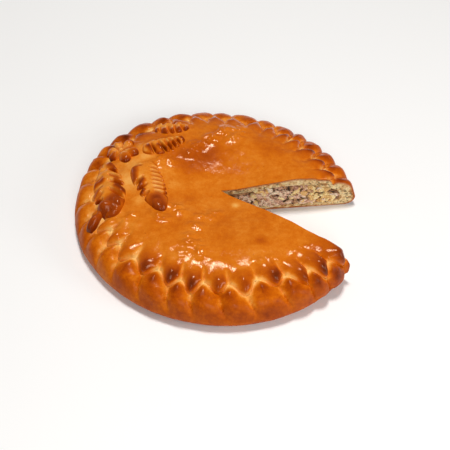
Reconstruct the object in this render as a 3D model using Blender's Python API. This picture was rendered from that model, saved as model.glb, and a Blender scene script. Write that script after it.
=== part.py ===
"""A round chicken pie of yeast dough, 28 cm across, with one slice cut out of it.

Metres, +Z up. The pie stands on z = 0 with its middle over the origin. Places on it are polar
about the knife point, where the two cuts meet: a bearing, counted from +X towards +Y, and either
a radius from the knife point or a distance inward from the outline. The rim is a smooth profile
with pleats on it: lobes of the base fold up over the side, and tongues of the lid come down
between them, so that the seam between lid and base is a zigzag.
"""

import math

import bmesh
import bpy
import numpy as np
from mathutils import Vector, noise

# Outline of the pie, seen from above
MEAN_RADIUS = 0.1391
DRIFT, DRIFT_BEARING = 0.0069, math.radians(-123.0)  # the knife point is off the middle
OVAL, OVAL_BEARING = 0.0043, math.radians(-39.0)
KNIFE_POINT = Vector((0.0048, 0.0054, 0.0))

# The missing slice lies between the near cut and the far cut
FAR_CUT = math.radians(5.5)
NEAR_CUT = math.radians(323.5)

# Outer profile from the edge of the flat underside up to the shoulder: (inward, height)
RIM_PROFILE = (
    (0.0100, 0.0000),
    (0.0035, 0.0022),
    (0.0000, 0.0085),
    (0.0022, 0.0165),
    (0.0080, 0.0238),
    (0.0180, 0.0288),
    (0.0310, 0.0335),
    (0.0450, 0.0378),
    (0.0600, 0.0392),
)
MIDDLE_HEIGHT = 0.0305

# Dough and filling
LID_THICKNESS = 0.0085
LID_MIDDLE_THICKNESS = 0.0060
FLOOR_THICKNESS = 0.0048
# The cavity for the filling, as (inward, height), from the corner where lid, base and filling meet
CAVITY_TOP = (0.0200, 0.0205)
CAVITY_SIDE = ((0.0165, 0.0155), (0.0175, 0.0090), (0.0240, FLOOR_THICKNESS))
GAP = 0.0004
SEAM_GAP, SEAM_GAP_RISE = 0.0008, 0.6  # wider, because the seam runs at a slant to the sections

# Pleats round the rim. Distances along the profile run from the edge of the underside.
PLEAT_WIDTH = math.radians(10.08)
PLEAT_SHIFT = 0.15  # phase at bearing 0
PLEAT_DRIFT, PLEAT_DRIFT_BEARING = 0.31, math.radians(106.0)
PLEAT_OVAL, PLEAT_OVAL_BEARING = 0.31, math.radians(39.0)
PLEAT_WOBBLE, WOBBLES, WOBBLE_BEARING = 0.11, 7, math.radians(15.0)
PLEAT_SPAN = 0.0250  # usual width, for distances across a pleat
WALL_START = 0.016  # where the lobes of the base begin on the side wall
WALL_FULL = 0.034  # and where they stand at full height
TONGUE_TIP = 0.0425  # outermost point of the seam
LOBE_APEX = 0.053  # innermost point of the seam
TONGUE_END = 0.071  # where the tongues of the lid run out
TIP_SHARE, TIP_SPREAD = 0.57, 0.13  # of a pleat, between a lobe's apex and the next tongue's tip
# Beside the near cut the rim is puffed up, and the whole pattern sits lower on it.
NEAR_DROP, NEAR_DROP_START, NEAR_DROP_END = 0.016, math.radians(290.0), math.radians(322.0)
NEAR_PUFF, PUFF_START, PUFF_PEAK, PUFF_END = 0.0088, 0.012, 0.040, 0.076
WALL_SLANT, LID_SLANT = 0.30, 0.10  # how far creases lean, in pleats
LOBE_HEIGHT, TONGUE_HEIGHT = 0.0052, 0.0058
CREASE_WIDTH = 0.0044
CREASE_SHARE = 0.35  # how much of that height lies below the smooth profile
CREASE_STEPS = 8
SEAM_SPREAD, HEIGHT_SPREAD = 0.0022, 0.18  # how far single pleats depart from the usual
UNEVENNESS = np.random.default_rng(4).uniform(-1.0, 1.0, (47, 4))
# The pleats are flatter at the back, and so are their tongues under the leaves
BACK_BEARING, BACK_SPREAD, BACK_FLATTENING = math.radians(80.0), math.radians(38.0), 0.45
COVER_BEARING, COVER_SPREAD, COVER_FLATTENING = math.radians(152.0), math.radians(50.0), 0.75

# Swells of the lid
SWELL_HEIGHT, SWELL_SIZE = 0.0014, 0.045

# Mesh density. Each row names the step between its columns and how far out or up it lies.
COLUMNS_DOWN, COLUMNS_UP = 3, 3  # from an apex to the next tip, and on to the next apex
DOME_ROWS = ((8, 0.30), (8, 0.62), (4, 0.86))  # share of the way from the middle to the shoulder
TONGUE_ROWS = ((2, 0.84), (1, 0.62), (1, 0.40), (1, 0.22), (1, 0.08))  # from seam to shoulder
LOBE_ROWS = ((2, 0.82), (1, 0.60), (1, 0.38), (1, 0.20), (1, 0.07))  # from seam to wall start
UNDERSIDE_ROWS = ((4, 0.0), (2, 0.0060), (2, 0.0115), (2, WALL_START))  # along the profile
UNDER_LID_ROWS = ((2, 0.034), (4, 0.050))  # inward
UNDER_DOME_ROWS = ((8, 0.85), (8, 0.45))  # share of the way from the middle to the shoulder
FLOOR_ROW = 0.5  # share of the outline
FILLING_RIM = 0.002  # between the filling's upper corner and the cavity's

# Roughness of the filling where it is cut
CELL_SIZE = 0.0065
CHUNK_DEPTH, CHUNK_SIZE, CHUNK_BIAS = 0.0022, 0.008, 0.15

# Dough decorations on the lid. Their plan places count from the knife point.
LIFT, FOOTPRINT = 0.0004, 0.0018  # they rest this far above the highest crust this near
NOTCH_DEPTH, NOTCH_SHARPNESS = 0.22, 3  # between two lobes or petals
CREASE_DEPTH = 0.5  # of a crease between lobes, as a share of the thickness there
LEAF_SLANT = 0.45
EDGE_SHARE = 0.40  # thickness at the rim of a leaf, as a share of its middle's
END_SHARE = 0.75  # thickness at the ends of a leaf, as a share of its widest part's
UNDERCUT = 0.95  # width of the underside, as a share of the top's
LEAF_ROWS = 28
LEAF_COLUMNS = (-1.0, -0.82, -0.45, 0.0, 0.45, 0.82, 1.0)
# name: start, bend and end of the midrib, half width, where it is widest, thickness and the
# number of lobes to the left and to the right of someone who looks along it
LEAVES = {
    "leaf_left": ((-0.1135, 0.037), (-0.107, -0.009), (-0.1005, -0.041), 0.0158, 0.54, 0.0065, 4, 4),
    "leaf_middle": ((-0.078, 0.030), (-0.067, -0.006), (-0.053, -0.036), 0.0155, 0.32, 0.0060, 7, 4),
    "leaf_back": ((-0.079, 0.0515), (-0.0585, 0.051), (-0.037, 0.066), 0.0115, 0.42, 0.0055, 3, 5),
    "leaf_edge": ((-0.069, 0.0885), (-0.054, 0.085), (-0.0325, 0.085), 0.0115, 0.50, 0.0050, 3, 4),
    "leaf_stem": ((-0.1222, -0.0515), (-0.119, -0.044), (-0.1145, -0.0345), 0.0046, 0.40, 0.0062, 0, 0),
}
NARROWEST = 0.2  # half width at the ends of a leaf, as a share of its widest
FLOWER_MIDDLE, FLOWER_RADIUS, FLOWER_THICKNESS = (-0.0985, 0.0490), 0.0145, 0.0060
PETALS, PETAL_STEPS = 6, 6
# Rows from the crown of the flower out over its petals and back under: share of the radius and
# of the thickness
FLOWER_ROWS = ((0.35, 0.80), (0.68, 1.0), (0.92, 0.75), (1.0, 0.40), (0.95, 0.0), (0.5, 0.0))
FLOWER_HOLLOW = 0.70  # thickness in the middle


def smooth(low, high, value):
    """Rises from 0 at low to 1 at high."""
    share = np.clip((value - low) / (high - low), 0.0, 1.0)
    return share * share * (3.0 - 2.0 * share)


def outline(bearing):
    drift = DRIFT * math.cos(bearing - DRIFT_BEARING)
    return MEAN_RADIUS + drift + OVAL * math.cos(2.0 * (bearing - OVAL_BEARING))


def rounded_path(points, steps=12):
    """Catmull-Rom curve through the points."""
    pts = np.array([points[0], *points, points[-1]])
    path = []
    for a, b, c, d in zip(pts, pts[1:], pts[2:], pts[3:]):
        for t in np.arange(steps) / steps:
            path.append(
                0.5 * (2 * b + (c - a) * t + (2 * a - 5 * b + 4 * c - d) * t**2
                       + (3 * b - a - 3 * c + d) * t**3)
            )
    path.append(pts[-1])
    return np.array(path)


RIM_PATH = rounded_path(RIM_PROFILE)
RIM_ALONG = np.concatenate([[0.0], np.cumsum(np.linalg.norm(np.diff(RIM_PATH, axis=0), axis=1))])
SHOULDER = RIM_ALONG[-1]
SHOULDER_INWARD, SHOULDER_HEIGHT = RIM_PROFILE[-1]
OVERHANG = int(np.argmin(RIM_PATH[:, 0]))  # index of the widest point


def rim_section(along):
    """Inward distance, height and outward normal of the smooth profile."""
    here = [np.interp(along, RIM_ALONG, RIM_PATH[:, k]) for k in (0, 1)]
    step = 0.0015
    low, high = max(along - step, 0.0), min(along + step, SHOULDER)
    run, rise = (
        np.interp(high, RIM_ALONG, RIM_PATH[:, k]) - np.interp(low, RIM_ALONG, RIM_PATH[:, k])
        for k in (0, 1)
    )
    length = math.hypot(run, rise)
    return here[0], here[1], (-rise / length, run / length)


def phase(bearing):
    """Counts pleats round the rim: a whole number at each apex of a lobe."""
    drift = PLEAT_DRIFT * math.cos(bearing - PLEAT_DRIFT_BEARING)
    oval = PLEAT_OVAL * math.cos(2.0 * (bearing - PLEAT_OVAL_BEARING))
    wobble = PLEAT_WOBBLE * math.cos(WOBBLES * (bearing - WOBBLE_BEARING))
    return PLEAT_SHIFT + bearing / PLEAT_WIDTH + drift + oval + wobble


BEARINGS = np.linspace(FAR_CUT, NEAR_CUT, 4000)
PHASES = np.array([phase(b) for b in BEARINGS])


def bearing_of(phase_value):
    return float(np.interp(phase_value, PHASES, BEARINGS))


def uneven(pleat, kind):
    """How one pleat departs from the usual, between -1 and 1."""
    return UNEVENNESS[pleat % len(UNEVENNESS), kind]


def tip_share(pleat):
    return TIP_SHARE + TIP_SPREAD * uneven(pleat, 3)


def seam(phase_value):
    """How far along the profile the seam between base and lid lies: a rounded zigzag."""
    pleat = math.floor(phase_value)
    share, turning = phase_value - pleat, tip_share(pleat)
    tip = TONGUE_TIP + SEAM_SPREAD * uneven(pleat, 0)
    if share < turning:
        apex, turn = LOBE_APEX + SEAM_SPREAD * uneven(pleat, 1), share / turning
    else:
        apex = LOBE_APEX + SEAM_SPREAD * uneven(pleat + 1, 1)
        turn = (1.0 - share) / (1.0 - turning)
    return tip + (apex - tip) * (0.5 + 0.5 * math.cos(math.pi * turn))


def lowering(bearing):
    return NEAR_DROP * float(smooth(NEAR_DROP_START, NEAR_DROP_END, bearing % math.tau))


def seam_along(bearing):
    return seam(phase(bearing)) - lowering(bearing)


def crease_lines(pleat):
    """The creases of one pleat as (phase, distance along): its stretch of the seam, the crease
    that runs on over the lid from the apex and the one that runs down the wall from the tip."""
    shares = np.linspace(0.0, 1.0, CREASE_STEPS + 1)[:-1]
    stretch = [(pleat + share, seam(pleat + share)) for share in shares] + [
        (pleat + 1.0, seam(pleat + 1.0))
    ]
    tip = pleat + tip_share(pleat)
    return (
        stretch,
        [stretch[0], (pleat - LID_SLANT, TONGUE_END)],
        [(tip, seam(tip)), (tip + 0.35 * WALL_SLANT, 0.5 * (TONGUE_TIP + WALL_START)),
         (tip + WALL_SLANT, WALL_START)],
    )


CREASES = {
    k: [np.array(line) * (PLEAT_SPAN, 1.0) for line in crease_lines(k)]
    for k in range(math.floor(PHASES[0]) - 1, math.ceil(PHASES[-1]) + 2)
}


def crease_distance(phase_value, along):
    """Distance over the dough to the nearest crease."""
    here = np.array((phase_value * PLEAT_SPAN, along))
    nearest = 1.0
    pleat = math.floor(phase_value)
    for k in (pleat - 1, pleat, pleat + 1):
        for line in CREASES.get(k, ()):
            start, run = line[:-1], np.diff(line, axis=0)
            share = np.clip(((here - start) * run).sum(1) / (run * run).sum(1), 0.0, 1.0)
            away = here - start - share[:, None] * run
            nearest = min(nearest, float(np.sqrt((away * away).sum(1).min())))
    return nearest


def puff(bearing, along):
    """How far the rim beside the near cut swells beyond the usual profile."""
    near = float(smooth(NEAR_DROP_START, NEAR_DROP_END, bearing % math.tau))
    return NEAR_PUFF * near * float(
        smooth(PUFF_START, PUFF_PEAK, along) * (1.0 - smooth(PUFF_PEAK, PUFF_END, along))
    )


def beside(bearing, centre, spread):
    """1 at the centre bearing, falling smoothly to 0 beyond the spread."""
    away = abs((bearing - centre + math.pi) % (2.0 * math.pi) - math.pi)
    return 1.0 - smooth(0.5 * spread, spread, away)


def relief(bearing, along):
    """How far the pleats stand proud of the smooth profile."""
    here = phase(bearing)
    along += lowering(bearing) * float(smooth(0.0, 0.020, along))
    on_lid = along > seam(here)
    height = TONGUE_HEIGHT if on_lid else LOBE_HEIGHT
    fade = 1.0 - smooth(LOBE_APEX, TONGUE_END, along) if along > LOBE_APEX else 1.0
    fade *= smooth(WALL_START, WALL_FULL, along)
    fade *= 1.0 - BACK_FLATTENING * beside(bearing, BACK_BEARING, BACK_SPREAD)
    if on_lid:
        fade *= 1.0 - COVER_FLATTENING * beside(bearing, COVER_BEARING, COVER_SPREAD)
    height *= 1.0 + HEIGHT_SPREAD * uneven(math.floor(here), 2)
    pillow = 1.0 - math.exp(-crease_distance(here, along) / CREASE_WIDTH)
    return float(height * fade * (pillow - CREASE_SHARE))


def swell(x, y):
    place = Vector((x / SWELL_SIZE, y / SWELL_SIZE, 0.7))
    return SWELL_HEIGHT * noise.noise(place)


def at(bearing, radius, height):
    return KNIFE_POINT + Vector((radius * math.cos(bearing), radius * math.sin(bearing), height))


def rim_place(bearing, along):
    """A point of the outside between the underside and the shoulder."""
    inward, height, normal = rim_section(along)
    lift = relief(bearing, along) + puff(bearing, along)
    radius = outline(bearing) - inward - normal[0] * lift
    place = at(bearing, radius, height + normal[1] * lift)
    place.z += swell(place.x, place.y) * smooth(TONGUE_TIP, SHOULDER, along)
    return place


def dome_height(share):
    return MIDDLE_HEIGHT + (SHOULDER_HEIGHT - MIDDLE_HEIGHT) * smooth(0.0, 1.0, share)


def dome_place(bearing, share):
    """A point of the top inside the shoulder, share of the way out from the knife point."""
    place = at(bearing, share * (outline(bearing) - SHOULDER_INWARD), dome_height(share))
    place.z += swell(place.x, place.y)
    return place


def top_height(x, y):
    """Height of the lid over a plan place."""
    away = Vector((x, y, 0.0)) - KNIFE_POINT
    bearing, radius = math.atan2(away.y, away.x), away.length
    inward = outline(bearing) - radius
    if inward >= SHOULDER_INWARD:
        share = radius / (outline(bearing) - SHOULDER_INWARD)
        return dome_height(share) + swell(x, y)
    along = float(np.interp(inward, RIM_PATH[OVERHANG:, 0], RIM_ALONG[OVERHANG:]))
    _, height, normal = rim_section(along)
    height += (relief(bearing, along) + puff(bearing, along)) / max(normal[1], 0.5)
    return height + swell(x, y) * smooth(TONGUE_TIP, SHOULDER, along)


def ground(x, y):
    """Height at which a decoration rests: clear of the highest crust within a small footprint."""
    around = [(0.0, 0.0)] + [
        (FOOTPRINT * math.cos(k * math.tau / 6), FOOTPRINT * math.sin(k * math.tau / 6))
        for k in range(6)
    ]
    return LIFT + max(top_height(x + dx, y + dy) for dx, dy in around)


def under_lid(bearing, inward):
    """Height of the lid's underside."""
    if inward >= SHOULDER_INWARD:
        share = (outline(bearing) - inward) / (outline(bearing) - SHOULDER_INWARD)
        thickness = LID_MIDDLE_THICKNESS + (LID_THICKNESS - LID_MIDDLE_THICKNESS) * share
        return dome_height(share) - thickness
    height = np.interp(inward, RIM_PATH[OVERHANG:, 0], RIM_PATH[OVERHANG:, 1])
    return float(height) - LID_THICKNESS


def columns(every):
    """Phases of the mesh columns from the far cut to the near cut, one in so many."""
    first, last = PHASES[0], PHASES[-1]
    inside = []
    for pleat in range(math.floor(first), math.ceil(last)):
        tip = pleat + tip_share(pleat)
        inside += np.linspace(pleat, tip, COLUMNS_DOWN + 1)[:-1].tolist()
        inside += np.linspace(tip, pleat + 1, COLUMNS_UP + 1)[:-1].tolist()
    inside = [p for p in inside if first + 0.05 < p < last - 0.05]
    return [first, *inside[::every], last]


def ring(every, place):
    """One row of points round the pie: place(bearing) at every chosen column."""
    return [(p, place(bearing_of(p))) for p in columns(every)]


def stitch(mesh, outer, inner):
    """Faces between two rows that run the same way, which may differ in their number of points."""
    i = j = 0
    while i < len(outer) - 1 or j < len(inner) - 1:
        outer_next = outer[i + 1][0] if i < len(outer) - 1 else math.inf
        inner_next = inner[j + 1][0] if j < len(inner) - 1 else math.inf
        if abs(outer_next - inner_next) < 1e-6:
            mesh.faces.new((outer[i][1], outer[i + 1][1], inner[j + 1][1], inner[j][1]))
            i, j = i + 1, j + 1
        elif outer_next < inner_next:
            mesh.faces.new((outer[i][1], outer[i + 1][1], inner[j][1]))
            i += 1
        else:
            mesh.faces.new((outer[i][1], inner[j + 1][1], inner[j][1]))
            j += 1


def swept_solid(rings, start, end):
    """A closed solid from rows round the pie, in order round its section. The section begins and
    ends on the line above the knife point, at heights start and end."""
    mesh = bmesh.new()
    first_point = mesh.verts.new(KNIFE_POINT + Vector((0.0, 0.0, start)))
    last_point = mesh.verts.new(KNIFE_POINT + Vector((0.0, 0.0, end)))
    rows = [[(p, mesh.verts.new(place)) for p, place in row] for row in rings]
    for row, point in ((rows[0], first_point), (rows[-1], last_point)):
        for (_, a), (_, b) in zip(row, row[1:]):
            mesh.faces.new((a, b, point))
    for row, following in zip(rows, rows[1:]):
        stitch(mesh, row, following)
    for side in (0, -1):
        mesh.faces.new([first_point, *(row[side][1] for row in rows), last_point])
    bmesh.ops.recalc_face_normals(mesh, faces=mesh.faces)
    return mesh


def add_object(name, mesh, material, collection):
    data = bpy.data.meshes.new(name)
    mesh.to_mesh(data)
    mesh.free()
    data.materials.append(material)
    data.shade_smooth()
    data.set_sharp_from_angle(angle=math.radians(50.0))
    piece = bpy.data.objects.new(name, data)
    collection.objects.link(piece)
    return piece


def add_material(name, colour, roughness):
    material = bpy.data.materials.new(name)
    material.use_nodes = True
    shader = material.node_tree.nodes["Principled BSDF"]
    shader.inputs["Base Color"].default_value = (*colour, 1.0)
    shader.inputs["Roughness"].default_value = roughness
    shader.inputs["Metallic"].default_value = 0.0
    return material


def seam_face(bearing, side):
    """The outer and inner edge of the face where lid (side 1) and base (side -1) meet, shifted by
    half a gap."""
    outer = rim_place(bearing, seam_along(bearing))
    inner = at(bearing, outline(bearing) - CAVITY_TOP[0], CAVITY_TOP[1])
    inwards = at(bearing, -1.0, 0.0) - KNIFE_POINT
    shift = side * 0.5 * SEAM_GAP * (inwards + Vector((0.0, 0.0, SEAM_GAP_RISE)))
    return outer + shift, inner + shift


def seam_faces(side):
    return [ring(1, lambda b, end=k: seam_face(b, side)[end]) for k in (0, 1)]


def seam_row(limit, share):
    """A row of the outside, share of the way from the seam to a distance along the profile."""
    def place(bearing):
        start = seam_along(bearing)
        return rim_place(bearing, start + (limit - start) * share)
    return place


def under_middle(drop):
    return MIDDLE_HEIGHT - LID_MIDDLE_THICKNESS - drop


def under_rim_row(inward, drop):
    """A row of the lid's underside, or of what lies a drop below it."""
    return lambda b: at(b, outline(b) - inward, under_lid(b, inward) - drop)


def under_dome_row(share, drop):
    def place(bearing):
        radius = share * (outline(bearing) - SHOULDER_INWARD)
        return at(bearing, radius, under_lid(bearing, outline(bearing) - radius) - drop)
    return place


def cavity_row(inward, height, gap):
    """A row of the cavity's wall, or of what lies a gap inside it."""
    return lambda b: at(b, outline(b) - inward - 2.0 * gap, height + gap)


def lid_crust():
    rings = [ring(every, lambda b, s=share: dome_place(b, s)) for every, share in DOME_ROWS]
    rings.append(ring(4, lambda b: rim_place(b, SHOULDER)))
    rings += [ring(every, seam_row(SHOULDER, share)) for every, share in TONGUE_ROWS]
    rings += seam_faces(1.0)
    rings += [ring(every, under_rim_row(inward, 0.0)) for every, inward in UNDER_LID_ROWS]
    rings += [ring(every, under_dome_row(share, 0.0)) for every, share in UNDER_DOME_ROWS]
    return swept_solid(rings, MIDDLE_HEIGHT + swell(*KNIFE_POINT.xy), under_middle(0.0))


def base_crust():
    rings = [ring(8, lambda b: at(b, outline(b) * FLOOR_ROW, 0.0))]
    rings += [ring(every, lambda b, s=along: rim_place(b, s)) for every, along in UNDERSIDE_ROWS]
    rings += [ring(every, seam_row(WALL_START, share)) for every, share in LOBE_ROWS]
    rings += seam_faces(-1.0)
    rings += [ring(4, cavity_row(inward, height, 0.0)) for inward, height in CAVITY_SIDE]
    rings.append(ring(8, lambda b: at(b, outline(b) * FLOOR_ROW, FLOOR_THICKNESS)))
    return swept_solid(rings, 0.0, FLOOR_THICKNESS)


def filling_body():
    rings = [ring(every, under_dome_row(share, GAP)) for every, share in UNDER_DOME_ROWS[::-1]]
    for inward in (UNDER_LID_ROWS[1][1], UNDER_LID_ROWS[0][1], CAVITY_TOP[0] + FILLING_RIM):
        rings.append(ring(4, under_rim_row(inward, 1.5 * GAP)))
    rings += [ring(4, cavity_row(inward, height, GAP)) for inward, height in CAVITY_SIDE]
    rings.append(ring(8, lambda b: at(b, outline(b) * FLOOR_ROW, FLOOR_THICKNESS + GAP)))
    return swept_solid(rings, under_middle(GAP), FLOOR_THICKNESS + GAP)


def on_cut(point, bearing):
    """Distance of a point from the upright plane of a cut."""
    away = point - KNIFE_POINT
    return away.y * math.cos(bearing) - away.x * math.sin(bearing)


def roughen_cut(mesh, bearing, outwards):
    """Splits a cut face of the filling into cells and presses its points in and out."""
    along = Vector((math.cos(bearing), math.sin(bearing), 0.0))
    normal = Vector((-along.y, along.x, 0.0)) * outwards
    planes = [(along, KNIFE_POINT + along * k * CELL_SIZE) for k in range(1, 20)]
    planes += [(Vector((0, 0, 1)), Vector((0, 0, k * CELL_SIZE))) for k in range(1, 6)]
    for plane_normal, place in planes:
        faces = [f for f in mesh.faces if all(abs(on_cut(v.co, bearing)) < 1e-6 for v in f.verts)]
        edges = {e for f in faces for e in f.edges}
        verts = {v for f in faces for v in f.verts}
        bmesh.ops.bisect_plane(
            mesh, geom=[*verts, *edges, *faces], plane_co=place, plane_no=plane_normal, dist=1e-5
        )
    for vert in mesh.verts:
        if abs(on_cut(vert.co, bearing)) < 1e-6 and (vert.co - KNIFE_POINT).xy.length > CELL_SIZE:
            chunk = noise.noise(vert.co / CHUNK_SIZE) - CHUNK_BIAS
            vert.co += normal * CHUNK_DEPTH * chunk


def filling():
    mesh = filling_body()
    roughen_cut(mesh, FAR_CUT, -1.0)
    roughen_cut(mesh, NEAR_CUT, 1.0)
    bmesh.ops.triangulate(mesh, faces=[f for f in mesh.faces if len(f.verts) > 4])
    return mesh


def leaf_width(share, widest_at):
    """Half width along a leaf, as a share of its widest."""
    turn = math.pi * share ** (math.log(0.5) / math.log(widest_at))
    return max(math.sin(turn), NARROWEST**2) ** 0.5


def leaf_section(rib, half_width, widest_at, thickness, lobes, share):
    """Plan places and heights above the lid across a leaf, from its left rim to its right."""
    start, bend, end = (Vector(p) for p in rib)
    middle = (1 - share) ** 2 * start + 2 * share * (1 - share) * bend + share**2 * end
    ahead = ((bend - start) * (1 - share) + (end - bend) * share).normalized()
    left = Vector((-ahead.y, ahead.x))
    reach = leaf_width(share, widest_at)
    slant = LEAF_SLANT * float(smooth(0.0, 0.3, share)) * (1.0 - share**4)
    row = []
    for across in LEAF_COLUMNS:
        count = lobes[0] if across < 0 else lobes[1]
        wave = 0.5 + 0.5 * math.cos(math.tau * share * count)
        notch = wave**NOTCH_SHARPNESS if count else 0.0
        width = half_width * reach * (1.0 - NOTCH_DEPTH * notch)
        place = middle + ahead * slant * abs(across) * width - left * across * width
        crown = EDGE_SHARE + (1.0 - EDGE_SHARE) * math.sqrt(max(1.0 - across**2, 0.0))
        crease = CREASE_DEPTH * notch * float(smooth(0.2, 0.8, abs(across)))
        height = thickness * (END_SHARE + (1.0 - END_SHARE) * reach) * crown * (1.0 - crease)
        row.append((place, height, middle))
    return row


def leaf(rib, half_width, widest_at, thickness, *lobes):
    mesh = bmesh.new()
    tops, undersides = [], []
    for k in range(LEAF_ROWS + 1):
        section = leaf_section(rib, half_width, widest_at, thickness, lobes, k / LEAF_ROWS)
        top, under = [], []
        for place, height, middle in section:
            x, y = place + KNIFE_POINT.xy
            top.append(mesh.verts.new((x, y, ground(x, y) + height)))
            x, y = middle.lerp(place, UNDERCUT) + KNIFE_POINT.xy
            under.append(mesh.verts.new((x, y, ground(x, y))))
        tops.append(top)
        undersides.append(under)
    loops = [top + under[::-1] for top, under in zip(tops, undersides)]
    for loop, following in zip(loops, loops[1:]):
        for k in range(len(loop)):
            n = (k + 1) % len(loop)
            mesh.faces.new((loop[k], loop[n], following[n], following[k]))
    mesh.faces.new(loops[0])
    mesh.faces.new(loops[-1])
    bmesh.ops.recalc_face_normals(mesh, faces=mesh.faces)
    return mesh


def flower():
    """A rosette of petals round its middle."""
    mesh = bmesh.new()
    middle = KNIFE_POINT.xy + Vector(FLOWER_MIDDLE)
    steps = PETALS * PETAL_STEPS
    rows = []
    for reach, rise in FLOWER_ROWS:
        row = []
        for k in range(steps):
            turn = math.tau * k / steps
            notch = (0.5 + 0.5 * math.cos(PETALS * turn)) ** NOTCH_SHARPNESS
            radius = FLOWER_RADIUS * reach * (1.0 - NOTCH_DEPTH * notch)
            x, y = middle + radius * Vector((math.cos(turn), math.sin(turn)))
            crease = CREASE_DEPTH * notch * min(reach * 1.4, 1.0)
            height = FLOWER_THICKNESS * rise * (1.0 - crease)
            row.append(mesh.verts.new((x, y, ground(x, y) + height)))
        rows.append(row)
    hollow = ground(*middle) + FLOWER_HOLLOW * FLOWER_THICKNESS
    crown = mesh.verts.new((*middle, hollow))
    under = mesh.verts.new((*middle, ground(*middle)))
    for k in range(steps):
        n = (k + 1) % steps
        mesh.faces.new((crown, rows[0][k], rows[0][n]))
        mesh.faces.new((under, rows[-1][n], rows[-1][k]))
        for row, following in zip(rows, rows[1:]):
            mesh.faces.new((row[k], following[k], following[n], row[n]))
    bmesh.ops.recalc_face_normals(mesh, faces=mesh.faces)
    return mesh


def main():
    for old in list(bpy.data.objects):
        bpy.data.objects.remove(old)
    pie = bpy.data.collections.new("chicken_pie")
    bpy.context.scene.collection.children.link(pie)
    crust = add_material("golden_crust", (0.66, 0.25, 0.05), 0.32)
    glaze = add_material("browned_dough", (0.48, 0.14, 0.03), 0.28)
    meat = add_material("chicken_filling", (0.66, 0.47, 0.38), 0.60)
    add_object("base_crust", base_crust(), crust, pie)
    add_object("lid_crust", lid_crust(), crust, pie)
    add_object("filling", filling(), meat, pie)
    for name, (start, bend, end, *sizes) in LEAVES.items():
        add_object(name, leaf((start, bend, end), *sizes), glaze, pie)
    add_object("flower", flower(), glaze, pie)


main()
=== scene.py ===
"""A round chicken pie with one slice cut out: egg-washed crust with a pleated rim, dough leaves and
a flower on the lid, and a filling of pulled chicken and potato at the cuts.

Metres, +Z up. Places are polar about the knife point, where the two cuts meet: a bearing from +X
towards +Y, and a radius from the knife point or a distance along the rim's profile.
"""

import math
from math import cos, pi, radians, sin, tau

import bmesh
import bpy
import numpy as np
from mathutils import Matrix, Vector, noise
from mathutils.bvhtree import BVHTree
from numpy.linalg import norm


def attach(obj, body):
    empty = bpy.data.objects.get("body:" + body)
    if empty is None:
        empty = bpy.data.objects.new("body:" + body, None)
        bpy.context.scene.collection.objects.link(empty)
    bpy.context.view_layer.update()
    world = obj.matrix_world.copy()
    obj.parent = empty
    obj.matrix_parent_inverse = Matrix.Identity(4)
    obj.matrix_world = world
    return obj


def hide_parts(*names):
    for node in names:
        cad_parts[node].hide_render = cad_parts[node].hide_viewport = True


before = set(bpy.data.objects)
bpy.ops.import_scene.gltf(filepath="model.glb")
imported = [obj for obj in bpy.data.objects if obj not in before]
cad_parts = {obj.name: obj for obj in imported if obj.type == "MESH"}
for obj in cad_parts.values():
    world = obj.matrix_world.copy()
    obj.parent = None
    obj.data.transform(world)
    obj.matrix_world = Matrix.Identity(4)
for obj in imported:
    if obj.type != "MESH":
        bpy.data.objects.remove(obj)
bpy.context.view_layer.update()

BODY = "root"


def mm(values):
    """Lengths in millimetres as metres."""
    return np.round(np.array(values, float) / 1000.0, 7)


def rows(plain, lengths, *given):
    """Each row given is some plain numbers, some lengths and the points of a line. Lengths and
    points are in millimetres, and points are counted from the knife point."""
    start = plain + lengths
    return [(*row[:plain], *mm(row[plain:start]), mm(row[start:]).reshape(-1, 2)) for row in given]


# ---- form, as the solids have it
MEAN_RADIUS = 0.1391
OUTLINE_WAVES = ((0.0069, 1, radians(-123.0)), (0.0043, 2, radians(-39.0)))  # height, count, crest
KNIFE_POINT = Vector((0.0048, 0.0054, 0.0))
KNIFE_PLAN = np.array(KNIFE_POINT.xy)
FAR_CUT, NEAR_CUT = radians(5.5), radians(323.5)
CUTS = ((FAR_CUT, 1.0), (NEAR_CUT, -1.0))  # bearing, and which way the open side lies

# Inward from the outline, and height
RIM_PROFILE = mm((
    (10, 0), (3.5, 2.2), (0, 8.5), (2.2, 16.5), (8, 23.8), (18, 28.8), (31, 33.5), (45, 37.8), (60, 39.2),
))
MIDDLE_HEIGHT = 0.0305
LID_THICKNESS, LID_MIDDLE_THICKNESS, FLOOR_THICKNESS = 0.0085, 0.0060, 0.0048
CAVITY_TOP = (0.0200, 0.0205)
CAVITY_SIDE = ((0.0165, 0.0155), (0.0175, 0.0090), (0.0240, FLOOR_THICKNESS))

PLEAT_WIDTH, PLEAT_SHIFT, PLEAT_SPAN = radians(10.08), 0.15, 0.0250
PLEAT_WAVES = ((0.31, 1, radians(106.0)), (0.31, 2, radians(39.0)), (0.11, 7, radians(15.0)))
WALL_START, WALL_FULL = 0.016, 0.034
TONGUE_TIP, LOBE_APEX, TONGUE_END = 0.0425, 0.053, 0.071
TIP_SHARE, TIP_SPREAD = 0.57, 0.13
NEAR_DROP, NEAR_DROP_BEARINGS, NEAR_DROP_START = 0.016, (radians(290.0), radians(322.0)), 0.020
NEAR_PUFF, PUFF_BAND = 0.0088, (0.012, 0.040, 0.040, 0.076)
WALL_SLANT, WALL_BEND, LID_SLANT = 0.30, 0.35, 0.10
LOBE_HEIGHT, TONGUE_HEIGHT = 0.0052, 0.0058
CREASE_WIDTH, CREASE_SHARE, CREASE_STEPS = 0.0044, 0.35, 8
SEAM_SPREAD, HEIGHT_SPREAD = 0.0022, 0.18
UNEVENNESS = np.random.default_rng(4).uniform(-1.0, 1.0, (47, 4))
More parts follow.
